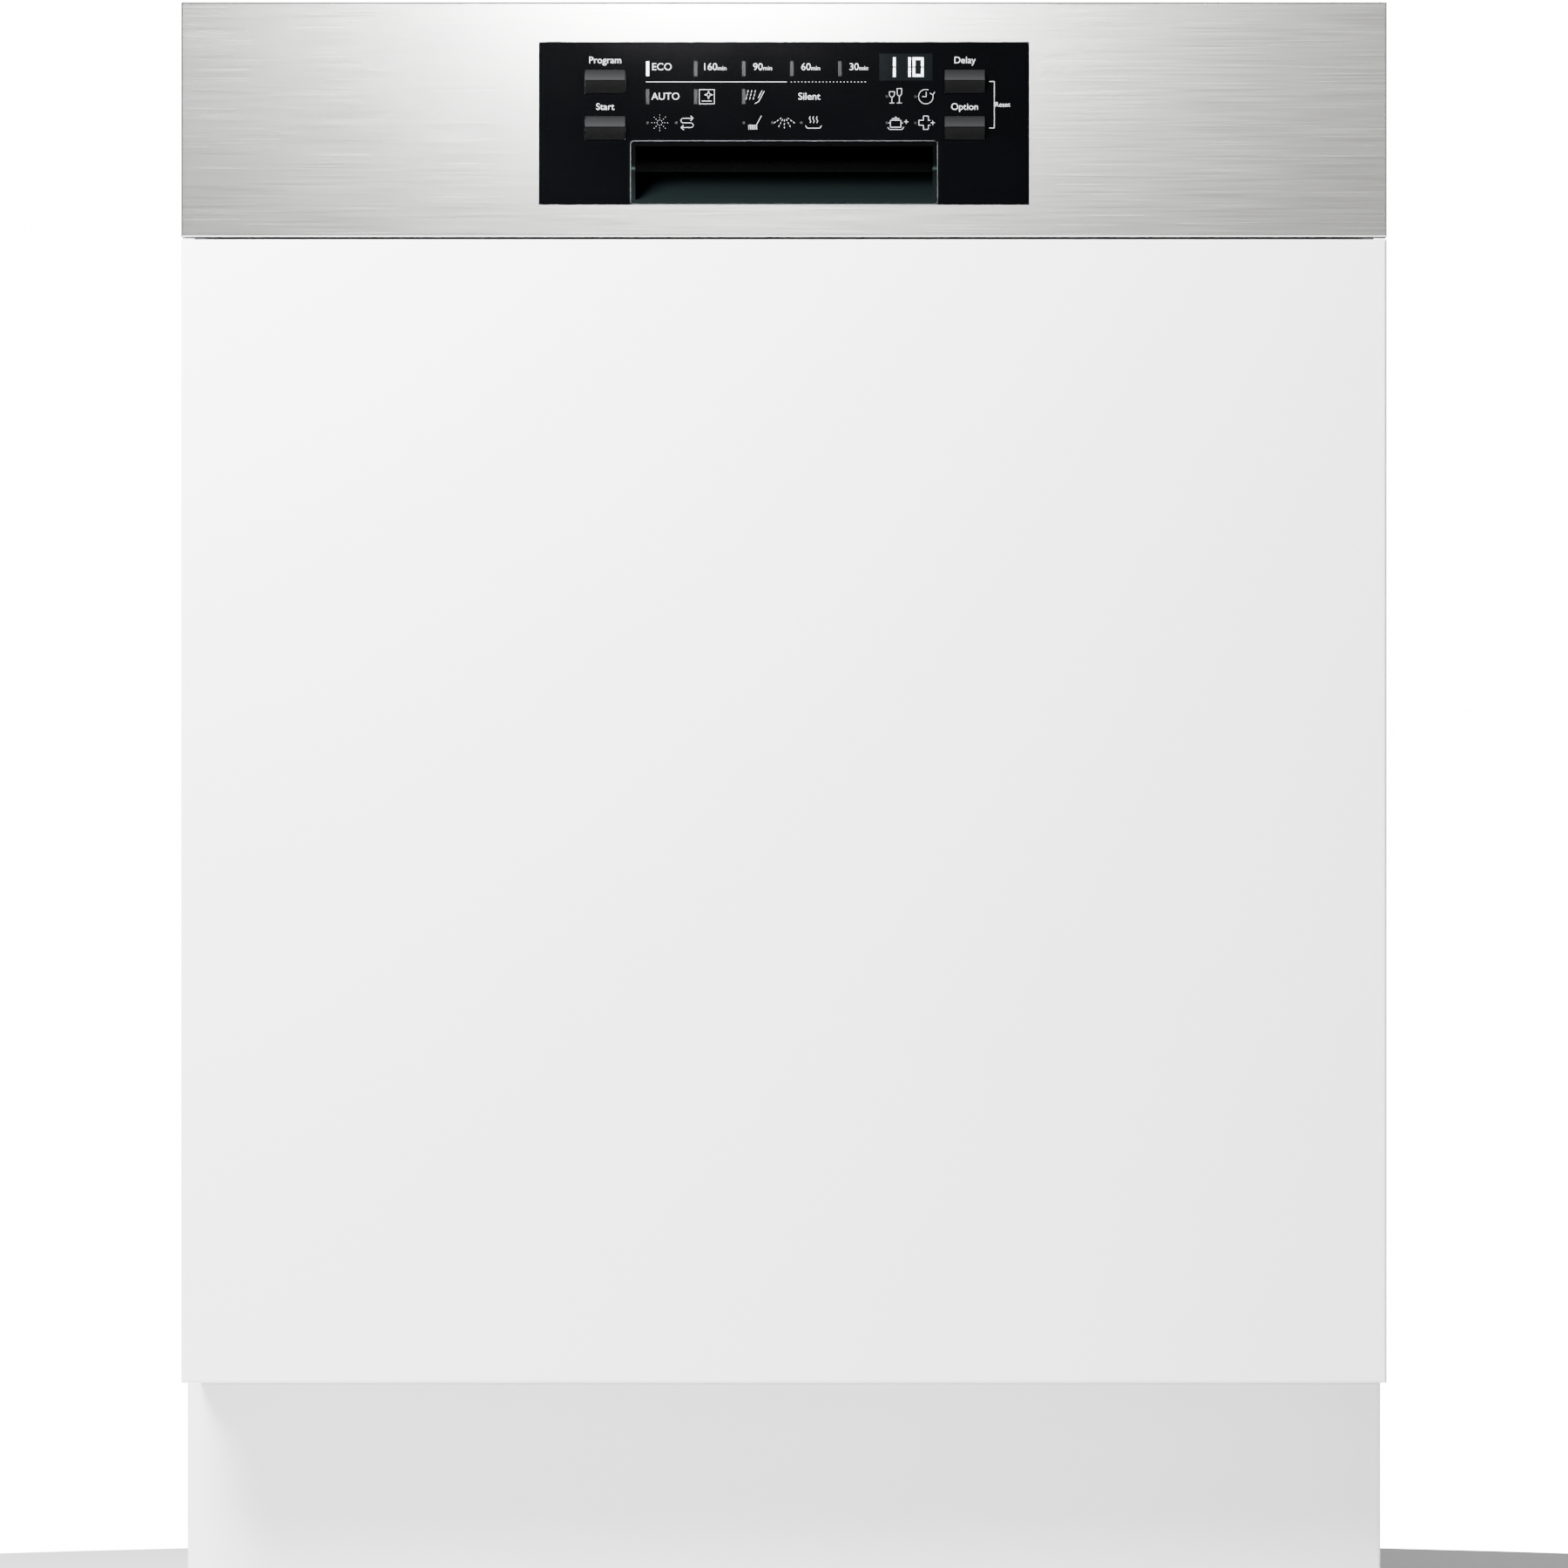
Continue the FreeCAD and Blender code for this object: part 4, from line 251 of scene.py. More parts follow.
def speckled(name, base, low, high, scale, vary):
    """Zinc-coated sheet: angular crystals, each a little lighter or darker."""
    tree, surface = shader(name, Metallic=1.0)
    crystals = object_pattern(tree, EVEN, scale, kind="TexVoronoi")
    tint(tree, surface, crystals, base, vary, output="Color")
    vary_roughness(tree, surface, crystals, low, high, output="Color")
    bump(tree, surface, object_pattern(tree, EVEN, 240, 3), 0.1, 0.00002)


class DISHWASHER_OT_finishes(bpy.types.Operator):
    """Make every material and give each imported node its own"""
    bl_idname = "dishwasher.finishes"
    bl_label = "Finishes"

    def execute(self, context):
        hue = context.scene.dishwasher_finishes
        brushed("brushed_fascia", hue.steel, (0.8, 90, 90), 20, 0.20, 0.28, 0.035, 0.3)
        brushed("tub_steel", hue.tub, (60, 60, 1.5), 14, 0.24, 0.38, 0.06)
        speckled("zinc_sheet", hue.zinc, 0.32, 0.5, 90, 0.12)
        brushed("stamped_steel", (0.42, 0.43, 0.44), (20, 20, 20), 30, 0.3, 0.45, 0.10, 0.0)
        self.lacquer(hue.lacquer)
        moulded("gloss_insert", hue.gloss, 0.08, 0.11, 300, 0.00001, 0.15, Specular_IOR_Level=0.04)
        self.grip(hue.grip)
        self.buttons(hue.button)
        moulded("display_glass", hue.display, 0.10, 0.15, 300, 0.00001, 0.1, Specular_IOR_Level=0.06)
        self.ink(hue.marks)
        moulded("lens_plastic", (0.0022, 0.0023, 0.0025), 0.2, 0.3, 600, 0.00001, 0.1,
                Specular_IOR_Level=0.15)
        moulded("grey_moulding", hue.moulding, 0.38, 0.52)
        moulded("dark_moulding", hue.tray, 0.42, 0.60, 700, 0.00010)
        moulded("white_moulding", (0.62, 0.63, 0.62), 0.34, 0.46)
        moulded("blue_moulding", (0.02, 0.09, 0.30), 0.30, 0.42)
        moulded("motor_casing", (0.018, 0.018, 0.020), 0.38, 0.55, 500, 0.00012)
        moulded("coated_wire", hue.wire, 0.26, 0.40, 500, 0.00006, 0.05, Coat_Weight=0.3,
                Coat_Roughness=0.2)
        brushed("spring_wire", (0.36, 0.37, 0.38), (20, 20, 20), 60, 0.25, 0.4, 0.1, 0.0)
        brushed("screw_steel", (0.50, 0.50, 0.50), (20, 20, 20), 60, 0.22, 0.35, 0.1, 0.0)
        self.perforated()
        brushed("grip_rim", (0.075, 0.08, 0.085), (20, 20, 20), 30, 0.3, 0.4, 0.05, 0.0)
        moulded("seal_rubber", hue.rubber, 0.55, 0.72, 800, 0.00010, 0.15)
        self.felt(hue.felt)
        self.circuit()
        assign = {
            "brushed_fascia": ["fascia"],
            "tub_steel": ["tub_wrapper", "tub_rear_wall", "tub_floor", "inner_door"],
            "perforated_steel": ["flat_filter"],
            "zinc_sheet": ["left_side_panel", "right_side_panel", "outer_door", "worktop_brackets"],
            "stamped_steel": ["hinge_brackets", "hinge_arms", "lock_strike", "upper_outer_rails",
                              "upper_rail_slides", "door_springs"],
            "front_lacquer": ["furniture_panel", "plinth"],
            "gloss_insert": ["control_insert"],
            "grip_plastic": ["handle_pocket"],
            "button_metal": ["program_button", "start_button", "delay_button", "option_button"],
            "display_glass": ["display_window"],
            "lens_plastic": ["indicator_lenses"],
            "grey_moulding": ["sump_housing", "water_feed_duct", "lower_spray_arm", "upper_spray_arm",
                              "upper_feed_tube", "front_wheels", "rear_wheels", "cup_shelf_left",
                              "cup_shelf_right", "cutlery_basket", "dispenser_body", "filter_cylinder"],
            "dark_moulding": ["base_tray", "front_foot_left", "front_foot_right", "rear_foot",
                              "tub_front_frame", "hose_outlet_block", "console_housing"],
            "white_moulding": ["softener_tank", "salt_cap", "detergent_lid", "latch_hook", "inlet_valve"],
            "blue_moulding": ["rinse_aid_cap"],
            "motor_casing": ["circulation_pump", "drain_pump"],
            "coated_wire": ["lower_rack", "upper_rack", "folding_tines_left", "folding_tines_right"],
            "seal_rubber": ["door_gasket"],
            "mat_felt": ["insulation_mats"],
            "circuit_board": ["control_board"],
        }
        for name, members in assign.items():
            for member in members:
                paint(NODES[member], name)
                finish_of[member] = name
        return {"FINISHED"}

    def buttons(self, base):
        """Satin keys whose two facets are painted in height bands: a painted lit upper facet, a thin painted
        dark line, and a lower facet in painted shade.
        """
        tree, surface = shader("button_metal", Specular_IOR_Level=0.08)
        upper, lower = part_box("program_button"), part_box("start_button")
        # Painted light and shade: the low gains paint the lower facet's shade and the dark line, the high
        # gains paint the upper facet's highlight.
        banded(tree, surface, base, lower[0].z, upper[1].z - upper[0].z,
               ((0.0, 0.10), (0.12, 0.16), (0.50, 0.30), (0.515, 0.04), (0.545, 0.04), (0.56, 1.8),
                (0.75, 1.25), (0.98, 0.75)), upper[0].z - lower[0].z)
        grain = object_pattern(tree, EVEN, 900, 2)
        vary_roughness(tree, surface, grain, 0.30, 0.42)
        bump(tree, surface, grain, 0.2, 0.00002)

    def grip(self, base):
        """Dark moulding with light and shade painted in height bands: the sloped floor lit at its foot and
        fading upwards into painted shade, a painted lit band at the crease, and painted shadow that makes the
        recess near black.
        """
        tree, surface = shader("grip_plastic", Specular_IOR_Level=0.01)
        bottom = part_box("control_insert")[0].z
        # Painted light and shade: gains above 1 paint light on the floor's foot and the crease, gains far
        # below 1 paint the recess's shadow.
        banded(tree, surface, base, bottom, MOUTH_TALL * MM,
               ((0.0, 1.25), (0.30, 0.85), (0.54, 0.30), (0.555, 7.0), (0.575, 7.0), (0.59, 0.10),
                (0.98, 0.06)))
        grain = object_pattern(tree, EVEN, 1400, 2)
        vary_roughness(tree, surface, grain, 0.30, 0.42)
        bump(tree, surface, grain, 0.25, 0.00004)

    def lacquer(self, base):
        """Satin lacquer on board: an almost flat white with a breath of orange peel."""
        tree, surface = shader("front_lacquer", Coat_Weight=0.25, Coat_Roughness=0.35,
                               Specular_IOR_Level=0.4)
        clouds = object_pattern(tree, EVEN, 3, 2)
        tint(tree, surface, clouds, base, 0.012)
        vary_roughness(tree, surface, clouds, 0.40, 0.48)
        bump(tree, surface, object_pattern(tree, EVEN, 260, 2), 0.05, 0.00003)

    def ink(self, base):
        """Printed marks with a painted glow that brightens them though they are no lamp, and the lit lamp and
        figures, which glow a little.
        """
        # The printed marks' glow of 0.35 is painted light; the lamp and figures glow as real lights.
        for name, rough, body, vary, glow in (("printed_ink_painted_glow", 0.5, 0.35, 0.05, 0.35),
                                              ("lit_lamp", 0.4, 1.0, 0.03, 0.8)):
            tree, surface = shader(name, Roughness=rough, Emission_Color=(*base, 1), Emission_Strength=glow)
            tint(tree, surface, object_pattern(tree, EVEN, 200, 2), [c * body for c in base], vary)

    def perforated(self):
        """Steel with a regular lattice of small holes, painted as dark spots: painted shade stands for the
        dark seen through them.
        """
        tree, surface = shader("perforated_steel", Metallic=0.9, Roughness=0.35)
        holes = object_pattern(tree, (1, 1, 0.01), 330, kind="TexVoronoi")
        holes.inputs["Randomness"].default_value = 0
        ramp = tint(tree, surface, holes, (0.40, 0.41, 0.42), 0.3)
        # The near black colour of the holes is painted shade.
        ramp.color_ramp.elements[0].position = 0.30
        ramp.color_ramp.elements[0].color = (0.006, 0.006, 0.006, 1)
        ramp.color_ramp.elements[1].position = 0.36
        bump(tree, surface, holes, 0.4, 0.0004)

    def felt(self, base):
        """Bitumen felt: matted fibres with lighter flecks."""
        tree, surface = shader("mat_felt", Roughness=0.95, Sheen_Weight=0.3, Sheen_Roughness=0.6)
        fibres = object_pattern(tree, EVEN, 420, 8)
        tint(tree, surface, fibres, base, 0.6)
        bump(tree, surface, fibres, 0.6, 0.0006)

    def circuit(self):
        """Green solder mask with copper lines just under it."""
        tree, surface = shader("circuit_board", Roughness=0.35, Coat_Weight=0.4,
                               Coat_Roughness=0.15)
        lines = object_pattern(tree, EVEN, 260, kind="TexVoronoi")
        lines.feature = "DISTANCE_TO_EDGE"
        ramp = tint(tree, surface, lines, (0.012, 0.09, 0.04), 0.5)
        ramp.color_ramp.elements[0].position = 0.02
        ramp.color_ramp.elements[1].position = 0.08
        bump(tree, surface, lines, 0.2, 0.00003)


def paint(piece, name):
    piece.data.materials.clear()
    piece.data.materials.append(made[name])


# ---------------------------------------------------------------- modelling helpers
def clear_selection():
    if bpy.context.object and bpy.context.object.mode != "OBJECT":
        bpy.ops.object.mode_set(mode="OBJECT")
    bpy.ops.object.select_all(action="DESELECT")


def pick(piece):
    """Makes a piece the only one selected, and the active one."""
    clear_selection()
    piece.select_set(True)
    bpy.context.view_layer.objects.active = piece


@contextmanager
def editing(action="SELECT", mode=None):
    """Edit mode on the active piece, with everything selected or nothing."""
    bpy.ops.object.mode_set(mode="EDIT")
    if mode:
        bpy.ops.mesh.select_mode(type=mode)
    if action:
        bpy.ops.mesh.select_all(action=action)
    yield
    bpy.ops.object.mode_set(mode="OBJECT")


def fix_place():
    bpy.ops.object.transform_apply(location=True, rotation=True, scale=True)


def settle(piece, name, finish, body):
    """Applies a piece's modifiers and place, names it, paints it and lets it ride."""
    pick(piece)
    if piece.type != "MESH" or piece.modifiers:
        bpy.ops.object.convert(target="MESH")
        piece = bpy.context.object
    fix_place()
    piece.name = name
    paint(piece, finish)
    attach(piece, body)
    return piece


def cuboid(low, high, bevel=0.0):
    """A box between two corners, in metres, with rounded edges."""
    clear_selection()
    low, high = Vector(low), Vector(high)
    bpy.ops.mesh.primitive_cube_add(size=1, location=(low + high) / 2)
    piece = bpy.context.object
    piece.scale = high - low
    fix_place()
    if bevel:
        with editing():
            bpy.ops.mesh.bevel(offset=bevel, segments=3, affect="EDGES")
    return piece


def join(pieces):
    clear_selection()
    for piece in pieces:
        piece.select_set(True)
    bpy.context.view_layer.objects.active = pieces[0]
    if len(pieces) > 1:
        bpy.ops.object.join()
    return bpy.context.object


def centre(name):
    low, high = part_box(name)
    return (low + high) / 2


def shade(piece, angle=35):
    pick(piece)
    bpy.ops.object.shade_smooth_by_angle(angle=math.radians(angle))
    return piece


def apply_modifiers(piece):
    pick(piece)
    bpy.ops.object.convert(target="MESH")
    return bpy.context.object


def rod(a, b, radius, vertices=16, bevel=0.0):
    """A round bar from a to b, with its two end rims rounded."""
    a, b = Vector(a), Vector(b)
    clear_selection()
    bpy.ops.mesh.primitive_cylinder_add(
        vertices=vertices, radius=radius, depth=(b - a).length, location=(a + b) / 2,
        rotation=(b - a).to_track_quat("Z", "Y").to_euler())
    piece = bpy.context.object
    if bevel:
        with editing("DESELECT", "FACE"):
            pass
        for face in piece.data.polygons:
            face.select = len(face.vertices) > 4
        with editing(None):
            bpy.ops.mesh.bevel(offset=bevel, segments=3, affect="EDGES")
    fix_place()
    return shade(piece)


def skin(piece, radius):
    """Turns a chain of edges into a round wire."""
    pick(piece)
    bpy.ops.object.convert(target="CURVE")
    line = bpy.context.object.data
    line.bevel_depth = radius
    line.bevel_resolution = 2
    line.use_fill_caps = True
    bpy.ops.object.convert(target="MESH")
    return shade(bpy.context.object, 60)


def wire(points, bend, radius):
    """A round wire pushed from corner to corner, with each inner corner bent to an arc."""
    clear_selection()
    points = [Vector(point) for point in points]
    bpy.ops.mesh.primitive_plane_add(size=0.01, location=points[0])
    piece = bpy.context.object
    with editing("SELECT", "VERT"):
        bpy.ops.mesh.merge(type="CENTER")
        for here, there in zip(points, points[1:]):
            bpy.ops.mesh.extrude_region_move(TRANSFORM_OT_translate={"value": there - here})
        bpy.ops.mesh.select_all(action="DESELECT")
    fix_place()
    for vertex in piece.data.vertices:
        ends = (vertex.co - points[0]).length, (vertex.co - points[-1]).length
        vertex.select = min(ends) > 1e-4
    if bend and len(points) > 2:
        with editing(None):
            bpy.ops.mesh.bevel(offset=bend, segments=5, affect="VERTICES")
    return skin(piece, radius)


def hoop(low, high, axis, bend, radius):
    """A closed wire round the rectangle between two corners that share a place on axis."""
    low, high = Vector(low), Vector(high)
    clear_selection()
    turn = {"Z": (0, 0, 0), "Y": (math.pi / 2, 0, 0)}[axis]
    bpy.ops.mesh.primitive_plane_add(size=1, location=(low + high) / 2, rotation=turn)
    piece = bpy.context.object
    size = high - low
    piece.scale = (size.x, size.y if axis == "Z" else size.z, 1)
    fix_place()
    with editing("SELECT", "VERT"):
        bpy.ops.mesh.delete(type="ONLY_FACE")
        bpy.ops.mesh.select_all(action="SELECT")
        bpy.ops.mesh.bevel(offset=bend, segments=6, affect="VERTICES")
    return skin(piece, radius)


def row(piece, step, count):
    """Repeats a piece, step apart."""
    array = piece.modifiers.new("row", "ARRAY")
    array.use_relative_offset = False
    array.use_constant_offset = True
    array.constant_offset_displace = step
    array.count = count
    return apply_modifiers(piece)


def places(low, high, pitch):
    """Evenly spaced places from low to high, about a pitch apart."""
    count = max(1, round((high - low) / pitch))
    return [low + (high - low) * i / count for i in range(count + 1)]


def copy_of(name):
    """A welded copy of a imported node's mesh, with flat faces made whole again."""
    piece = NODES[name].copy()
    piece.data = NODES[name].data.copy()
    bpy.context.scene.collection.objects.link(piece)
    piece.parent = None
    piece.matrix_world = NODES[name].matrix_world.copy()
    piece.hide_render = piece.hide_viewport = False
    for key in list(piece.keys()):
        del piece[key]
    pick(piece)
    with editing():
        bpy.ops.mesh.remove_doubles(threshold=0.002 * MM)
        bpy.ops.mesh.dissolve_limited(angle_limit=math.radians(2))
        bpy.ops.mesh.normals_make_consistent(inside=False)
    return piece


def soften(piece, width):
    """Rounds a piece's sharp edges."""
    edge = piece.modifiers.new("edge", "BEVEL")
    edge.width = width
    edge.segments = 2
    edge.limit_method = "ANGLE"
    edge.angle_limit = math.radians(50)
    return shade(apply_modifiers(piece))


def salvage(name, wanted):
    """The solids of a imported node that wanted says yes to, with soft edges."""
    piece = copy_of(name)
    with editing():
        bpy.ops.mesh.separate(type="LOOSE")
    kept = []
    for part in list(bpy.context.selected_objects):
        xs, ys, zs = zip(*[tuple(vertex.co) for vertex in part.data.vertices])
        if wanted((min(xs), min(ys), min(zs)), (max(xs), max(ys), max(zs))):
            kept.append(part)
        else:
            bpy.data.objects.remove(part)
    return soften(join(kept), 0.4 * MM)


# ---------------------------------------------------------------- control marks
CAPITAL_SHARE = 0.70  # height of a capital letter over the size of its text


def label(text, x, z, height, y):
    """A word in print, facing the front, centred on x and z; its capitals are height tall."""
    clear_selection()
    bpy.ops.object.text_add(location=(x, y, z), rotation=(math.pi / 2, 0, 0))
    word = bpy.context.object
    word.data.body = text
    word.data.align_x = word.data.align_y = "CENTER"
    word.data.size = height / CAPITAL_SHARE
    word.data.extrude = 0.03 * MM
    bpy.ops.object.convert(target="MESH")
    return bpy.context.object


def bar(x0, x1, z0, z1, y, thick):
    """A flat printed bar between two X and two Z."""
    return cuboid((x0, y - thick, z0), (x1, y, z1))


def stroke(a, b, y, line, thick):
    """A straight flat stroke between two points (x, z) of the front."""
    run, rise = b[0] - a[0], b[1] - a[1]
    long = math.hypot(run, rise)
    clear_selection()
    bpy.ops.mesh.primitive_cube_add(size=1, location=((a[0] + b[0]) / 2, y - thick / 2, (a[1] + b[1]) / 2),
                                    rotation=(0, -math.atan2(rise, run), 0))
    piece = bpy.context.object
    piece.scale = (long + line * 0.7, thick, line)
    fix_place()
    return piece


def drawing(x, z, paths, y, line, thick):
    """Strokes along paths of points, given in millimetres from the middle of the sign."""
    strokes = []
    for path in paths:
        points = [(x + dx * MM, z + dz * MM) for dx, dz in path]
        strokes += [stroke(a, b, y, line, thick) for a, b in zip(points, points[1:])]
    return strokes


def arc(x, z, radius, start, stop, steps):
    """Points round part of a circle, angles in degrees."""
    turns = [math.radians(start + (stop - start) * i / steps) for i in range(steps + 1)]
    return [(x + radius * math.cos(a), z + radius * math.sin(a)) for a in turns]


def rays(x, z, angles, bands):
    """Short dashes that fan out from a point."""
    fan = []
    for angle in angles:
        a = math.radians(angle)
        fan += [[(x + r * math.cos(a), z + r * math.sin(a)) for r in band] for band in bands]
    return fan


def plus(x, z, reach):
    return [[(x - reach, z), (x + reach, z)], [(x, z - reach), (x, z + reach)]]


# Generic signs: where their middle is on X in mm, the row they stand in, and their strokes.
SIGNS = {
    "shine": (-38.2, 1, [
        [(-3.7, 3.5), (3.8, 3.5), (3.8, -3.6), (-3.7, -3.6), (-3.7, 3.5)],
        [(0.9, 2.8), (1.4, 1.4), (2.9, 0.9), (1.4, 0.4), (0.9, -1.1), (0.4, 0.4), (-1.1, 0.9), (0.4, 1.4),
         (0.9, 2.8)],
        [(-2.3, -2.2), (2.4, -2.2)]]),
    "rinse": (-14.1, 1, [[(4.3, 2.6), (1.6, -2.4), (-0.2, -3.4)], [(3.2, 2.9), (1.4, -0.6)]]
              + [[(-3.6 + 1.8 * i - 0.4 * j, 3.0 - 1.7 * j), (-3.9 + 1.8 * i - 0.4 * j, 2.1 - 1.7 * j)]
                 for i in range(3) for j in range(3)]),
    "glasses": (55.2, 1, [
        [(-3.3, 2.4), (-3.0, 0.4), (-1.9, -0.5), (-0.8, 0.4), (-0.5, 2.4), (-3.3, 2.4)],
        [(-1.9, -0.5), (-1.9, -3.2)], [(-3.0, -3.2), (-0.8, -3.2)],
        [(0.6, 4.0), (0.8, 1.0), (1.8, 0.1), (2.8, 1.0), (3.0, 4.0), (0.6, 4.0)],
        [(1.8, 0.1), (1.8, -3.2)], [(0.7, -3.2), (2.9, -3.2)]]),
    "clock": (70.1, 1, [arc(0, 0, 3.6, 70, 372, 22), [(2.2, 1.6), (3.6, 0.9), (4.3, 2.2)],
                        [(0.2, 2.3), (0.2, 0.0), (-1.6, 0.0)]]),
    "frost": (-61.4, 2, rays(0, 0, range(0, 360, 45), ((1.3, 1.4), (2.5, 2.6), (3.8, 3.9)))),
    "salt": (-47.9, 2, [
        [(2.6, 2.2), (-2.2, 2.2), (-3.0, 1.5), (-3.0, 0.6), (-2.2, -0.1), (2.2, -0.1), (3.0, -0.8),
         (3.0, -1.7), (2.2, -2.4), (-2.6, -2.4)],
        [(1.8, 3.3), (3.0, 2.2), (1.8, 1.1)], [(-1.8, -1.3), (-3.0, -2.4), (-1.8, -3.5)]]),
    "brush": (-14.6, 2, [[(3.4, 3.3), (0.9, -1.2)], [(-2.8, -1.2), (1.1, -1.2)]]
              + [[(-2.8 + 0.78 * i, -1.2), (-2.8 + 0.78 * i, -3.3)] for i in range(6)]),
    "jet": (0.2, 2, rays(0, 3.4, (215, 242, 270, 298, 325), ((2.0, 2.7), (3.7, 4.4), (5.4, 6.1)))),
    "steam": (14.6, 2, [[(-3.9, -1.5), (-3.1, -2.7), (3.1, -2.7), (3.9, -1.5)]]
              + [[(dx, 3.0), (dx - 0.4, 2.1), (dx + 0.4, 0.9), (dx, 0.0)] for dx in (-1.7, 0, 1.7)]),
    "pot": (55.2, 2, [
        [(-2.6, 1.2), (2.6, 1.2), (2.6, -2.2), (-2.6, -2.2), (-2.6, 1.2)], [(-1.7, 2.0), (1.7, 2.0)],
        [(-0.4, 2.7), (0.4, 2.7)], [(-3.5, -0.2), (-2.6, -0.2)], [(2.6, -0.2), (3.5, -0.2)],
        [(-3.9, -2.3), (-3.2, -3.3), (3.2, -3.3), (3.9, -2.3)]] + plus(5.2, 0.5, 0.9)),
    "care": (70.1, 2, [
        [(2.1, 1.2), (1.2, 1.2), (1.2, 3.3), (-1.2, 3.3), (-1.2, 1.2), (-3.5, 1.2), (-3.5, -1.2),
         (-1.2, -1.2), (-1.2, -3.3), (1.2, -3.3), (1.2, -1.2), (2.1, -1.2)]] + plus(3.4, 0.0, 0.9)),
}


class DISHWASHER_OT_marks(bpy.types.Operator):
    """Print the labels, symbols and lines on the control insert, and light the display"""
    bl_idname = "dishwasher.marks"
    bl_label = "Control marks"

    def execute(self, context):
        size = context.scene.dishwasher_marks
        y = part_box("control_insert")[0].y - size.raise_by
        top = CAD_BOX[1][2]
        rows = [top - size.row_one, top - size.row_two, top - size.row_three]
        pieces = []
        for name, word in (("program_button", "Program"), ("start_button", "Start"),
                           ("delay_button", "Delay"), ("option_button", "Option")):
            low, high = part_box(name)
            pieces.append(label(word, (low.x + high.x) / 2, high.z + size.label_gap, size.caps * 0.94, y))
        after = 6.8 * MM  # from a lamp to the middle of its figure
        lamps = [size.lamp_left + i * size.lamp_pitch for i in range(5)]
        for x, word in zip(lamps, ("ECO", "160", "90", "60", "30")):
            pieces.append(label(word, x + after + 0.2 * MM, rows[0] + 0.8 * MM, size.caps, y))
        for x, shift in zip(lamps[1:], (6.2, 5.0, 5.0, 5.0)):
            pieces.append(label("min", x + after + shift * MM, rows[0] + 0.2 * MM, size.caps * 0.62, y))
        pieces.append(label("AUTO", lamps[0] + after + 2.1 * MM, rows[1], size.caps, y))
        pieces.append(label("Silent", lamps[3] + 8.6 * MM, rows[1], size.caps, y))
        pieces += self.lines(size, lamps, rows, y)
        for x, row, paths in SIGNS.values():
            pieces += drawing(x * MM, rows[row], paths, y, size.line, size.raise_by)
        marks = settle(join(pieces), "control_marks", "printed_ink_painted_glow", "door")
        self.figures(size, y)
        return {"FINISHED"}

    def lines(self, size, lamps, rows, y):
        """The line under the first row, solid and then dotted, and the bracket by the right-hand buttons."""
        z, thin, ink = rows[0] - 6.4 * MM, 0.28 * MM, size.raise_by
        pieces = [bar(lamps[0] - 0.8 * MM, lamps[3] - 2.5 * MM, z - thin, z, y, ink)]
        dots = 22
        start, stop = lamps[3] - 0.5 * MM, lamps[4] + 14 * MM
        for i in range(dots):
            x = start + (stop - start) * i / dots
            pieces.append(bar(x, x + 0.55 * MM, z - thin, z, y, ink))
        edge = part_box("delay_button")[1].x + 2.2 * MM
        upper, lower = centre("delay_button").z, centre("option_button").z
        for at in (upper, lower):
            pieces.append(bar(edge, edge + 2.4 * MM, at - thin / 2, at + thin / 2, y, ink))
        pieces.append(bar(edge + 2.4 * MM, edge + 2.4 * MM + thin, lower - thin / 2, upper + thin / 2,
                          y, ink))
        pieces.append(label("Reset", edge + 6.6 * MM, (upper + lower) / 2, size.small * 0.9, y))
        return pieces

    def figures(self, size, y):
        """The display's figures, in bars: one, one, nought, and the first programme lamp, lit."""
        low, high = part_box("display_window")
        middle, tall = (low.z + high.z) / 2, size.digit
        wide, thick = tall * 0.56, tall * 0.13
        halves = ((-tall / 2, -thick / 4), (thick / 4, tall / 2))
        right = [(wide - thick, wide, *half) for half in halves]
        left = [(0, thick, *half) for half in halves]
        caps = [(thick / 2, wide - thick / 2, tall / 2 - thick, tall / 2),
                (thick / 2, wide - thick / 2, -tall / 2, -tall / 2 + thick)]
        pieces = []
        for start, lit in ((-10.4, right), (-2.9, right), (3.4, right + left + caps)):
            at = (low.x + high.x) / 2 + start * MM
            pieces += [bar(at + x0, at + x1, middle + z0, middle + z1, y, size.raise_by)
                       for x0, x1, z0, z1 in lit]
        lamp_x, lamp_z = size.lamp_left, CAD_BOX[1][2] - size.row_one
        lens_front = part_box("indicator_lenses")[0].y
        pieces.append(bar(lamp_x - 0.7 * MM, lamp_x + 0.7 * MM, lamp_z - 3.6 * MM, lamp_z + 3.6 * MM,
                          lens_front, 0.05 * MM))
        figures = settle(join(pieces), "display_figures", "lit_lamp", "door")


class DISHWASHER_OT_grip(bpy.types.Operator):
    """Run a thin light frame round the mouth of the grip pocket"""
    bl_idname = "dishwasher.grip"
    bl_label = "Grip frame"

    def execute(self, context):
        low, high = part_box("handle_pocket")
        insert_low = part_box("control_insert")[0]
        line, proud, bend = 0.30, 0.12 * MM, 1.8
        across = (high.x - low.x) / 2 / MM - line / 2 - bend
        base, top = line / 2 + bend, MOUTH_TALL - line / 2 - bend
        path = []
        for x, z, start in ((-across, base, 180), (across, base, 270), (across, top, 0), (-across, top, 90)):
            path += arc(x, z, bend, start, start + 90, 5)
        sides = drawing((low.x + high.x) / 2, insert_low.z, [path + path[:1]], insert_low.y, line * MM,
                        proud)
        rim = settle(join(sides), "grip_frame", "grip_rim", "door")
        return {"FINISHED"}


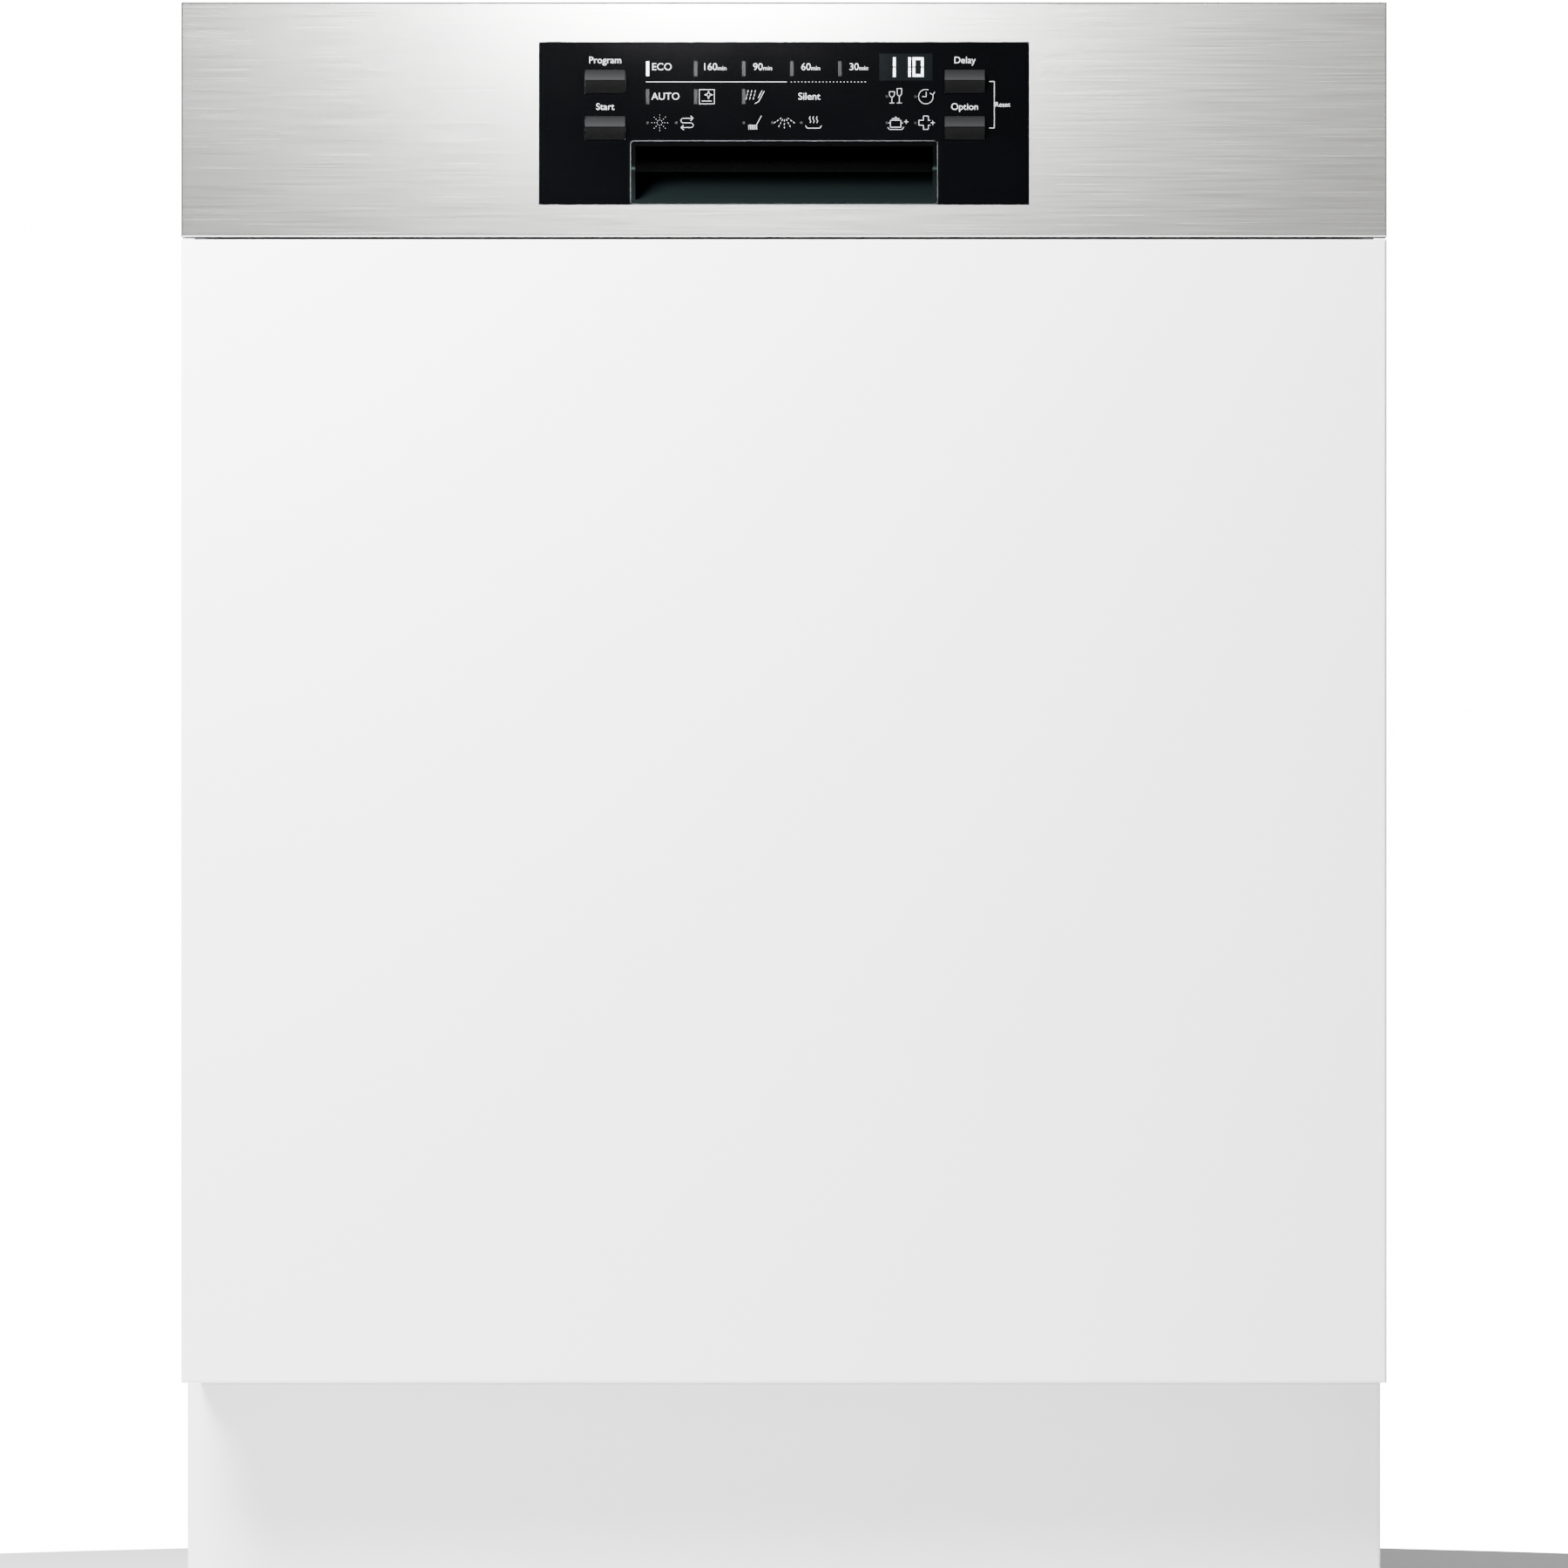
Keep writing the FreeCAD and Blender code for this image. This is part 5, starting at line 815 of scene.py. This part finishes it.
# ---------------------------------------------------------------- fine pieces
SOFT_EDGES = {
    "base_tray": 0.8, "softener_tank": 3.0, "salt_cap": 0.8, "circulation_pump": 1.2, "drain_pump": 1.2,
    "dispenser_body": 1.2, "detergent_lid": 0.6, "rinse_aid_cap": 0.8, "cup_shelf_left": 1.0,
    "cup_shelf_right": 1.0, "lower_spray_arm": 1.4, "upper_spray_arm": 1.4, "upper_feed_tube": 0.8,
    "water_feed_duct": 2.5, "front_wheels": 1.4, "rear_wheels": 1.4, "inlet_valve": 0.8,
    "hose_outlet_block": 1.2, "filter_cylinder": 0.6, "sump_housing": 0.8, "tub_front_frame": 1.0,
    "folding_tines_left": 0.5, "folding_tines_right": 0.5, "latch_hook": 0.4,
}


class DISHWASHER_OT_mouldings(bpy.types.Operator):
    """Give the moulded pieces rounded edges"""
    bl_idname = "dishwasher.mouldings"
    bl_label = "Soft-edged mouldings"

    def execute(self, context):
        for name, width in SOFT_EDGES.items():
            piece = soften(copy_of(name), width * MM)
            piece = settle(piece, "soft_" + name, finish_of[name], BODY_OF[name])
            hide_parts(name)
        return {"FINISHED"}


class DISHWASHER_OT_racks(bpy.types.Operator):
    """Bend the two wire baskets, and add their grips"""
    bl_idname = "dishwasher.racks"
    bl_label = "Wire baskets"

    def execute(self, context):
        size = context.scene.dishwasher_racks
        self.basket(size, "lower_rack", 0.236, 0.288, 0.335, (22 * MM, 66 * MM), 72 * MM)
        self.basket(size, "upper_rack", 0.472, 0.536, 0.600, (-92 * MM, 0, 92 * MM), 48 * MM)
        return {"FINISHED"}

    def basket(self, size, name, floor, middle, rim, tine_rows, tine_tall):
        low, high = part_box(name)
        front, rear, half = low.y, high.y, size.half
        thin, thick = size.wire / 2, size.rim_wire / 2
        edge = size.edge
        ys = places(front + edge, rear - edge, size.cross_pitch)
        xs = places(edge - half, half - edge, size.pitch)
        side, end = half - 2 * thick - thin, 2 * thick + thin
        top = rim - thick
        cross = wire([(-side, ys[0], top), (-side, ys[0], floor + 3 * thin), (side, ys[0], floor + 3 * thin),
                      (side, ys[0], top)], size.bend, thin)
        pieces = [row(cross, (0, ys[1] - ys[0], 0), len(ys))]
        hoops = wire([(xs[0], front + end, top), (xs[0], front + end, floor + thin),
                      (xs[0], rear - end, floor + thin), (xs[0], rear - end, top)], size.bend, thin)
        pieces.append(row(hoops, (xs[2] - xs[0], 0, 0), (len(xs) + 1) // 2))
        straight = rod((xs[1], front + end, floor + thin), (xs[1], rear - end, floor + thin), thin, 12)
        pieces.append(row(straight, (xs[2] - xs[0], 0, 0), len(xs) // 2))
        for z in (top, middle):
            pieces.append(hoop((-half + thick, front + thick, z), (half - thick, rear - thick, z), "Z",
                               size.corner, thick))
        for x in tine_rows:
            tine = rod((x, ys[1], floor + 3 * thin), (x, ys[1], floor + 4 * thin + tine_tall), thin, 12,
                       thin * 0.8)
            pieces.append(row(tine, (0, ys[1] - ys[0], 0), len(ys) - 2))
        basket = settle(join(pieces), name.replace("rack", "basket_wires"), "coated_wire", BODY_OF[name])
        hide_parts(name)
        fittings = salvage(name, lambda a, b: self.is_fitting(a, b, half, floor + 4 * thin, thin))
        settle(fittings, name.replace("rack", "basket_fittings"), "grey_moulding", BODY_OF[name])
        grip = cuboid((-75 * MM, front - 1.5 * MM, rim - 19 * MM), (75 * MM, front + 9 * MM, rim), 3 * MM)
        settle(shade(grip), name.replace("rack", "basket_grip"), "grey_moulding", BODY_OF[name])

    def is_fitting(self, a, b, half, floor_top, thin):
        """Runners, straps and wheel carriers reach out past the wires; a bearing is a small block on them."""
        outside = max(-a[0], b[0]) > half + 0.2 * MM
        small = b[0] - a[0] > 5 * thin / 2 and max(b[i] - a[i] for i in range(3)) < 16 * MM
        return outside or (small and a[2] > floor_top - thin)


class DISHWASHER_OT_springs(bpy.types.Operator):
    """Wind the two door balance springs and hook them to the hinge arms"""
    bl_idname = "dishwasher.springs"
    bl_label = "Balance springs"

    def execute(self, context):
        low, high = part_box("door_springs")
        inner, wire_r, turns, outer = 3.6 * MM, 0.8 * MM, 30, 4.5 * MM
        foot, head = low.z + 3 * MM, high.z - 10 * MM
        y_low, y_high = high.y - outer, low.y + outer
        tilt = math.atan2(y_high - y_low, head - foot)
        coils, links = [], []
        for side in (-1, 1):
            x = side * (high.x - outer)
            clear_selection()
            bpy.ops.mesh.primitive_circle_add(vertices=8, radius=wire_r, location=(inner, 0, 0),
                                              rotation=(math.pi / 2, 0, 0))
            coil = bpy.context.object
            fix_place()
            winding = coil.modifiers.new("winding", "SCREW")
            winding.steps = winding.render_steps = 14
            winding.iterations = turns
            winding.screw_offset = (head - foot) / turns
            coil = shade(apply_modifiers(coil), 60)
            coil.rotation_euler = (-tilt, 0, 0)
            coil.location = (x, y_low, foot)
            fix_place()
            hook = [(x, y_low, low.z), (x, y_low, foot), (x + inner * 0.9, y_low, foot + 2 * MM)]
            coils += [coil, wire(hook, 1 * MM, wire_r)]
            heights = (head - 2 * MM, head + 3 * MM, high.z + 1 * MM)
            links.append(wire([(x, y_high, z) for z in heights], 0, wire_r))
        piece = settle(join(coils), "spring_coils", "spring_wire", "cabinet")
        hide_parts("door_springs")
        link = join(links)
        link.name = "spring_links"
        self.divide(link)
        paint(link, "spring_wire")
        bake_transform(link)
        return {"FINISHED"}

    def divide(self, link):
        """Cuts the link into short lengths."""
        pick(link)
        with editing():
            bpy.ops.mesh.subdivide(number_cuts=8)
        fix_place()


class DISHWASHER_OT_seal(bpy.types.Operator):
    """Lay the rubber door seal: a foot in the frame's edge, a bulb and a sealing lip"""
    bl_idname = "dishwasher.seal"
    bl_label = "Door seal"

    def execute(self, context):
        low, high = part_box("door_gasket")
        pieces = []
        for inset, depth, radius in ((2.4, 2.5, 2.3), (2.8, 5.2, 1.9), (2.2, 8.0, 1.3)):
            y = high.y - depth * MM
            pieces.append(hoop((low.x + inset * MM, y, low.z + inset * MM),
                               (high.x - inset * MM, y, high.z - inset * MM), "Y", 5 * MM, radius * MM))
        seal = settle(join(pieces), "lip_seal", "seal_rubber", "cabinet")
        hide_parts("door_gasket")
        return {"FINISHED"}


class DISHWASHER_OT_mats(bpy.types.Operator):
    """Lay the sound-deadening felt mats round the tub"""
    bl_idname = "dishwasher.mats"
    bl_label = "Felt mats"

    def execute(self, context):
        low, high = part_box("insulation_mats")
        thick, rear = 10 * MM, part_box("tub_rear_wall")[1].y
        inner, top = high.x - thick, high.z - thick
        boxes = [((inner, low.y, low.z), (high.x, rear, top)), ((low.x, low.y, low.z), (-inner, rear, top)),
                 ((-inner, low.y, top), (inner, rear, high.z)), ((-inner, rear, low.z), (inner, high.y, top))]
        clouds = bpy.data.textures.new("felt_clouds", "CLOUDS")
        clouds.noise_scale = 0.035
        pads = []
        for corner, other in boxes:
            pad = cuboid(corner, other, 2.5 * MM)
            with editing():
                bpy.ops.mesh.subdivide(number_cuts=24)
            swell = pad.modifiers.new("swell", "DISPLACE")
            swell.texture = clouds
            swell.texture_coords = "GLOBAL"
            swell.strength = 1.6 * MM
            swell.mid_level = 0.75
            pads.append(shade(apply_modifiers(pad)))
        mats = settle(join(pads), "felt_mats", "mat_felt", "cabinet")
        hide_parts("insulation_mats")
        return {"FINISHED"}


class DISHWASHER_OT_basket(bpy.types.Operator):
    """Cut the slots of the cutlery basket"""
    bl_idname = "dishwasher.basket"
    bl_label = "Cutlery basket"

    def execute(self, context):
        low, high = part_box("cutlery_basket")
        basket = copy_of("cutlery_basket")
        cutters = []
        for start, stop in ((12, 40), (47, 75), (82, 108)):
            z0, z1 = low.z + start * MM, low.z + stop * MM
            for i in range(4):
                for j in range(3):
                    y = low.y + (high.y - low.y) * (i + 0.5) / 4 + (j - 1) * 17 * MM
                    cutters.append(cuboid((low.x - 0.01, y - 5 * MM, z0), (high.x + 0.01, y + 5 * MM, z1)))
            for i in range(2):
                for j in (-1, 1):
                    x = low.x + (high.x - low.x) * (2 * i + 1) / 4 + j * 9.5 * MM
                    cutters.append(cuboid((x - 5 * MM, low.y - 0.01, z0), (x + 5 * MM, high.y + 0.01, z1)))
        cutter = join(cutters)
        slots = basket.modifiers.new("slots", "BOOLEAN")
        slots.object = cutter
        slots.operation = "DIFFERENCE"
        slots.solver = "EXACT"
        slots.use_self = True
        basket = apply_modifiers(basket)
        bpy.data.objects.remove(cutter)
        basket = settle(shade(basket), "slotted_cutlery_basket", "grey_moulding", BODY_OF["cutlery_basket"])
        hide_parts("cutlery_basket")
        return {"FINISHED"}


class DISHWASHER_OT_fasteners(bpy.types.Operator):
    """Drive the cross-head screws, and form the inlet's thread and the spigot's barbs"""
    bl_idname = "dishwasher.fasteners"
    bl_label = "Screws and threads"

    def execute(self, context):
        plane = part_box("tub_front_frame")[0].y - 2 * MM
        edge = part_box("inner_door")[1].x - 7 * MM
        door = [(side * edge, plane, z) for side in (-1, 1) for z in (0.24, 0.40, 0.56, 0.72)]
        settle(self.screws(door, (0, 1, 0)), "liner_screws", "screw_steel", "door")
        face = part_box("right_side_panel")[1].x - 0.4 * MM
        pieces = [self.screws([(side * face, y, z) for y in (-0.195, 0.262)
                               for z in (0.10 if y > 0 else 0.27, 0.42, 0.77)], (side, 0, 0))
                  for side in (1, -1)]
        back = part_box("hose_outlet_block")
        plate = back[0].y + 8 * MM
        pieces.append(self.screws([(back[0].x + 6 * MM, plate, back[0].z + 6 * MM),
                                   (back[1].x - 6 * MM, plate, back[1].z - 6 * MM)], (0, 1, 0)))
        settle(join(pieces), "case_screws", "screw_steel", "cabinet")
        self.rings()
        return {"FINISHED"}

    def screws(self, spots, out):
        """Pan heads with a cross recess, facing out."""
        head = rod((0, 0, -0.2 * MM), (0, 0, 1.4 * MM), 3.4 * MM, 20, 0.6 * MM)
        cross = join([cuboid((-2 * MM, -0.4 * MM, 0.6 * MM), (2 * MM, 0.4 * MM, 3 * MM)),
                      cuboid((-0.4 * MM, -2 * MM, 0.6 * MM), (0.4 * MM, 2 * MM, 3 * MM))])
        recess = head.modifiers.new("recess", "BOOLEAN")
        recess.object = cross
        recess.solver = "EXACT"
        recess.use_self = True
        head = shade(apply_modifiers(head))
        bpy.data.objects.remove(cross)
        made_screws = []
        for spot in spots:
            screw = head.copy()
            screw.data = head.data.copy()
            bpy.context.scene.collection.objects.link(screw)
            screw.location = spot
            screw.rotation_euler = Vector(out).to_track_quat("Z", "Y").to_euler()
            made_screws.append(screw)
        bpy.data.objects.remove(head)
        joined = join(made_screws)
        fix_place()
        return joined

    def rings(self):
        """The turns of the inlet's thread, and the three barbs that hold the drain hose."""
        middle, rear = centre("inlet_valve"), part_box("inlet_valve")[1].y
        pieces = []
        for i in range(6):
            clear_selection()
            bpy.ops.mesh.primitive_torus_add(
                location=(middle.x, rear - (2.0 + 1.9 * i) * MM, middle.z),
                rotation=(math.pi / 2, 0, 0), major_radius=12.9 * MM, minor_radius=0.55 * MM,
                major_segments=40, minor_segments=8)
            pieces.append(bpy.context.object)
        settle(shade(join(pieces)), "inlet_thread", "white_moulding", "cabinet")
        middle, rear = centre("hose_outlet_block"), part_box("hose_outlet_block")[1].y
        pieces = []
        for i in range(3):
            clear_selection()
            bpy.ops.mesh.primitive_cone_add(
                vertices=32, radius1=9.9 * MM, radius2=9.0 * MM, depth=4 * MM,
                location=(middle.x + 26 * MM, rear - (2.4 + 6 * i) * MM, middle.z),
                rotation=(-math.pi / 2, 0, 0), end_fill_type="NOTHING")
            pieces.append(bpy.context.object)
        settle(shade(join(pieces)), "spigot_barbs", "dark_moulding", "cabinet")


# ---------------------------------------------------------------- stage
SENSOR = 36  # width of the camera's film, in mm


class DISHWASHER_OT_stage(bpy.types.Operator):
    """Floor, studio lights, room and camera"""
    bl_idname = "dishwasher.stage"
    bl_label = "Stage"

    def execute(self, context):
        look = context.scene.dishwasher_studio
        clear_selection()
        bpy.ops.mesh.primitive_circle_add(vertices=96, radius=1.05, fill_type="NGON",
                                          location=(0, -0.5, -0.0005))
        floor = bpy.context.object
        floor.name = "studio_floor"
        tree, surface = shader("floor_paint", Roughness=0.8)
        tint(tree, surface, object_pattern(tree, EVEN, 2, 2), (0.93, 0.93, 0.93), 0.01)
        paint(floor, "floor_paint")
        self.room(context, look)
        front = CAD_BOX[0][1]
        key = self.area("key", (-0.6, front - 0.62, 1.3), (-0.1, front, 0.6), (0.5, 0.5), look.key)
        fill = self.area("fill", (-0.3, front - 3.6, 1.3), (0, 0, 0.35), (1.8, 1.4), look.fill)
        strip = self.area("strip", (-0.05, front - 0.95, 0.96), (0, front, 0.78), (0.12, 0.12), look.strip)
        key.visible_glossy = fill.visible_glossy = False
        strip.visible_diffuse = False
        key.visible_camera = fill.visible_camera = strip.visible_camera = False
        camera = bpy.data.objects.new("front_camera", bpy.data.cameras.new("front_camera"))
        context.scene.collection.objects.link(camera)
        camera.location = (0, front - look.distance, look.eye)
        camera.rotation_euler = (math.pi / 2, 0, 0)
        camera.data.sensor_width = SENSOR
        camera.data.lens = SENSOR * look.distance / look.field
        camera.data.clip_end = 50
        context.scene.camera = camera
        return {"FINISHED"}

    def area(self, name, where, towards, size, power):
        data = bpy.data.lights.new(name, "AREA")
        data.shape = "RECTANGLE"
        data.size, data.size_y = size
        data.energy = power
        lamp = bpy.data.objects.new(name, data)
        bpy.context.scene.collection.objects.link(lamp)
        lamp.location = where
        lamp.rotation_euler = (Vector(towards) - Vector(where)).to_track_quat("-Z", "Y").to_euler()
        return lamp

    def room(self, context, look):
        """A white room as seen, and a softer one as it lights the object."""
        world = bpy.data.worlds.new("room")
        world.use_nodes = True
        tree = world.node_tree
        lit = tree.nodes["Background"]
        seen = node(tree, "Background")
        for light, strength in ((lit, look.sky), (seen, look.backdrop)):
            light.inputs["Color"].default_value = (1, 1, 1, 1)
            light.inputs["Strength"].default_value = strength
        path, mix = node(tree, "LightPath"), node(tree, "MixShader")
        tree.links.new(path.outputs["Is Camera Ray"], mix.inputs[0])
        tree.links.new(lit.outputs[0], mix.inputs[1])
        tree.links.new(seen.outputs[0], mix.inputs[2])
        tree.links.new(mix.outputs[0], tree.nodes["World Output"].inputs["Surface"])
        context.scene.world = world


OPERATORS = [DISHWASHER_OT_finishes, DISHWASHER_OT_mouldings, DISHWASHER_OT_marks, DISHWASHER_OT_grip,
             DISHWASHER_OT_racks, DISHWASHER_OT_springs, DISHWASHER_OT_seal, DISHWASHER_OT_mats,
             DISHWASHER_OT_basket, DISHWASHER_OT_fasteners, DISHWASHER_OT_stage]
STEPS = [operator.bl_idname.split(".")[1] for operator in OPERATORS]


class DISHWASHER_PT_panel(bpy.types.Panel):
    """Sizes, colours and steps of the dishwasher"""
    bl_label = "Dishwasher"
    bl_idname = "DISHWASHER_PT_panel"
    bl_space_type = "VIEW_3D"
    bl_region_type = "UI"
    bl_category = "Dishwasher"

    def draw(self, context):
        for step in STEPS:
            self.layout.operator("dishwasher." + step)
        for group in (context.scene.dishwasher_finishes, context.scene.dishwasher_marks,
                      context.scene.dishwasher_racks, context.scene.dishwasher_studio):
            box = self.layout.box()
            for name in group.__annotations__:
                box.prop(group, name)


GROUPS = {"dishwasher_finishes": DISHWASHER_PG_finishes, "dishwasher_marks": DISHWASHER_PG_marks,
          "dishwasher_racks": DISHWASHER_PG_racks, "dishwasher_studio": DISHWASHER_PG_studio}


def register():
    for made_class in (*GROUPS.values(), *OPERATORS, DISHWASHER_PT_panel):
        bpy.utils.register_class(made_class)
    for name, group in GROUPS.items():
        setattr(bpy.types.Scene, name, bpy.props.PointerProperty(type=group))


def unregister():
    for name in GROUPS:
        delattr(bpy.types.Scene, name)
    for made_class in reversed((*GROUPS.values(), *OPERATORS, DISHWASHER_PT_panel)):
        bpy.utils.unregister_class(made_class)


def main():
    register()
    for step in STEPS:
        getattr(bpy.ops.dishwasher, step)()


if __name__ == "__main__":
    main()
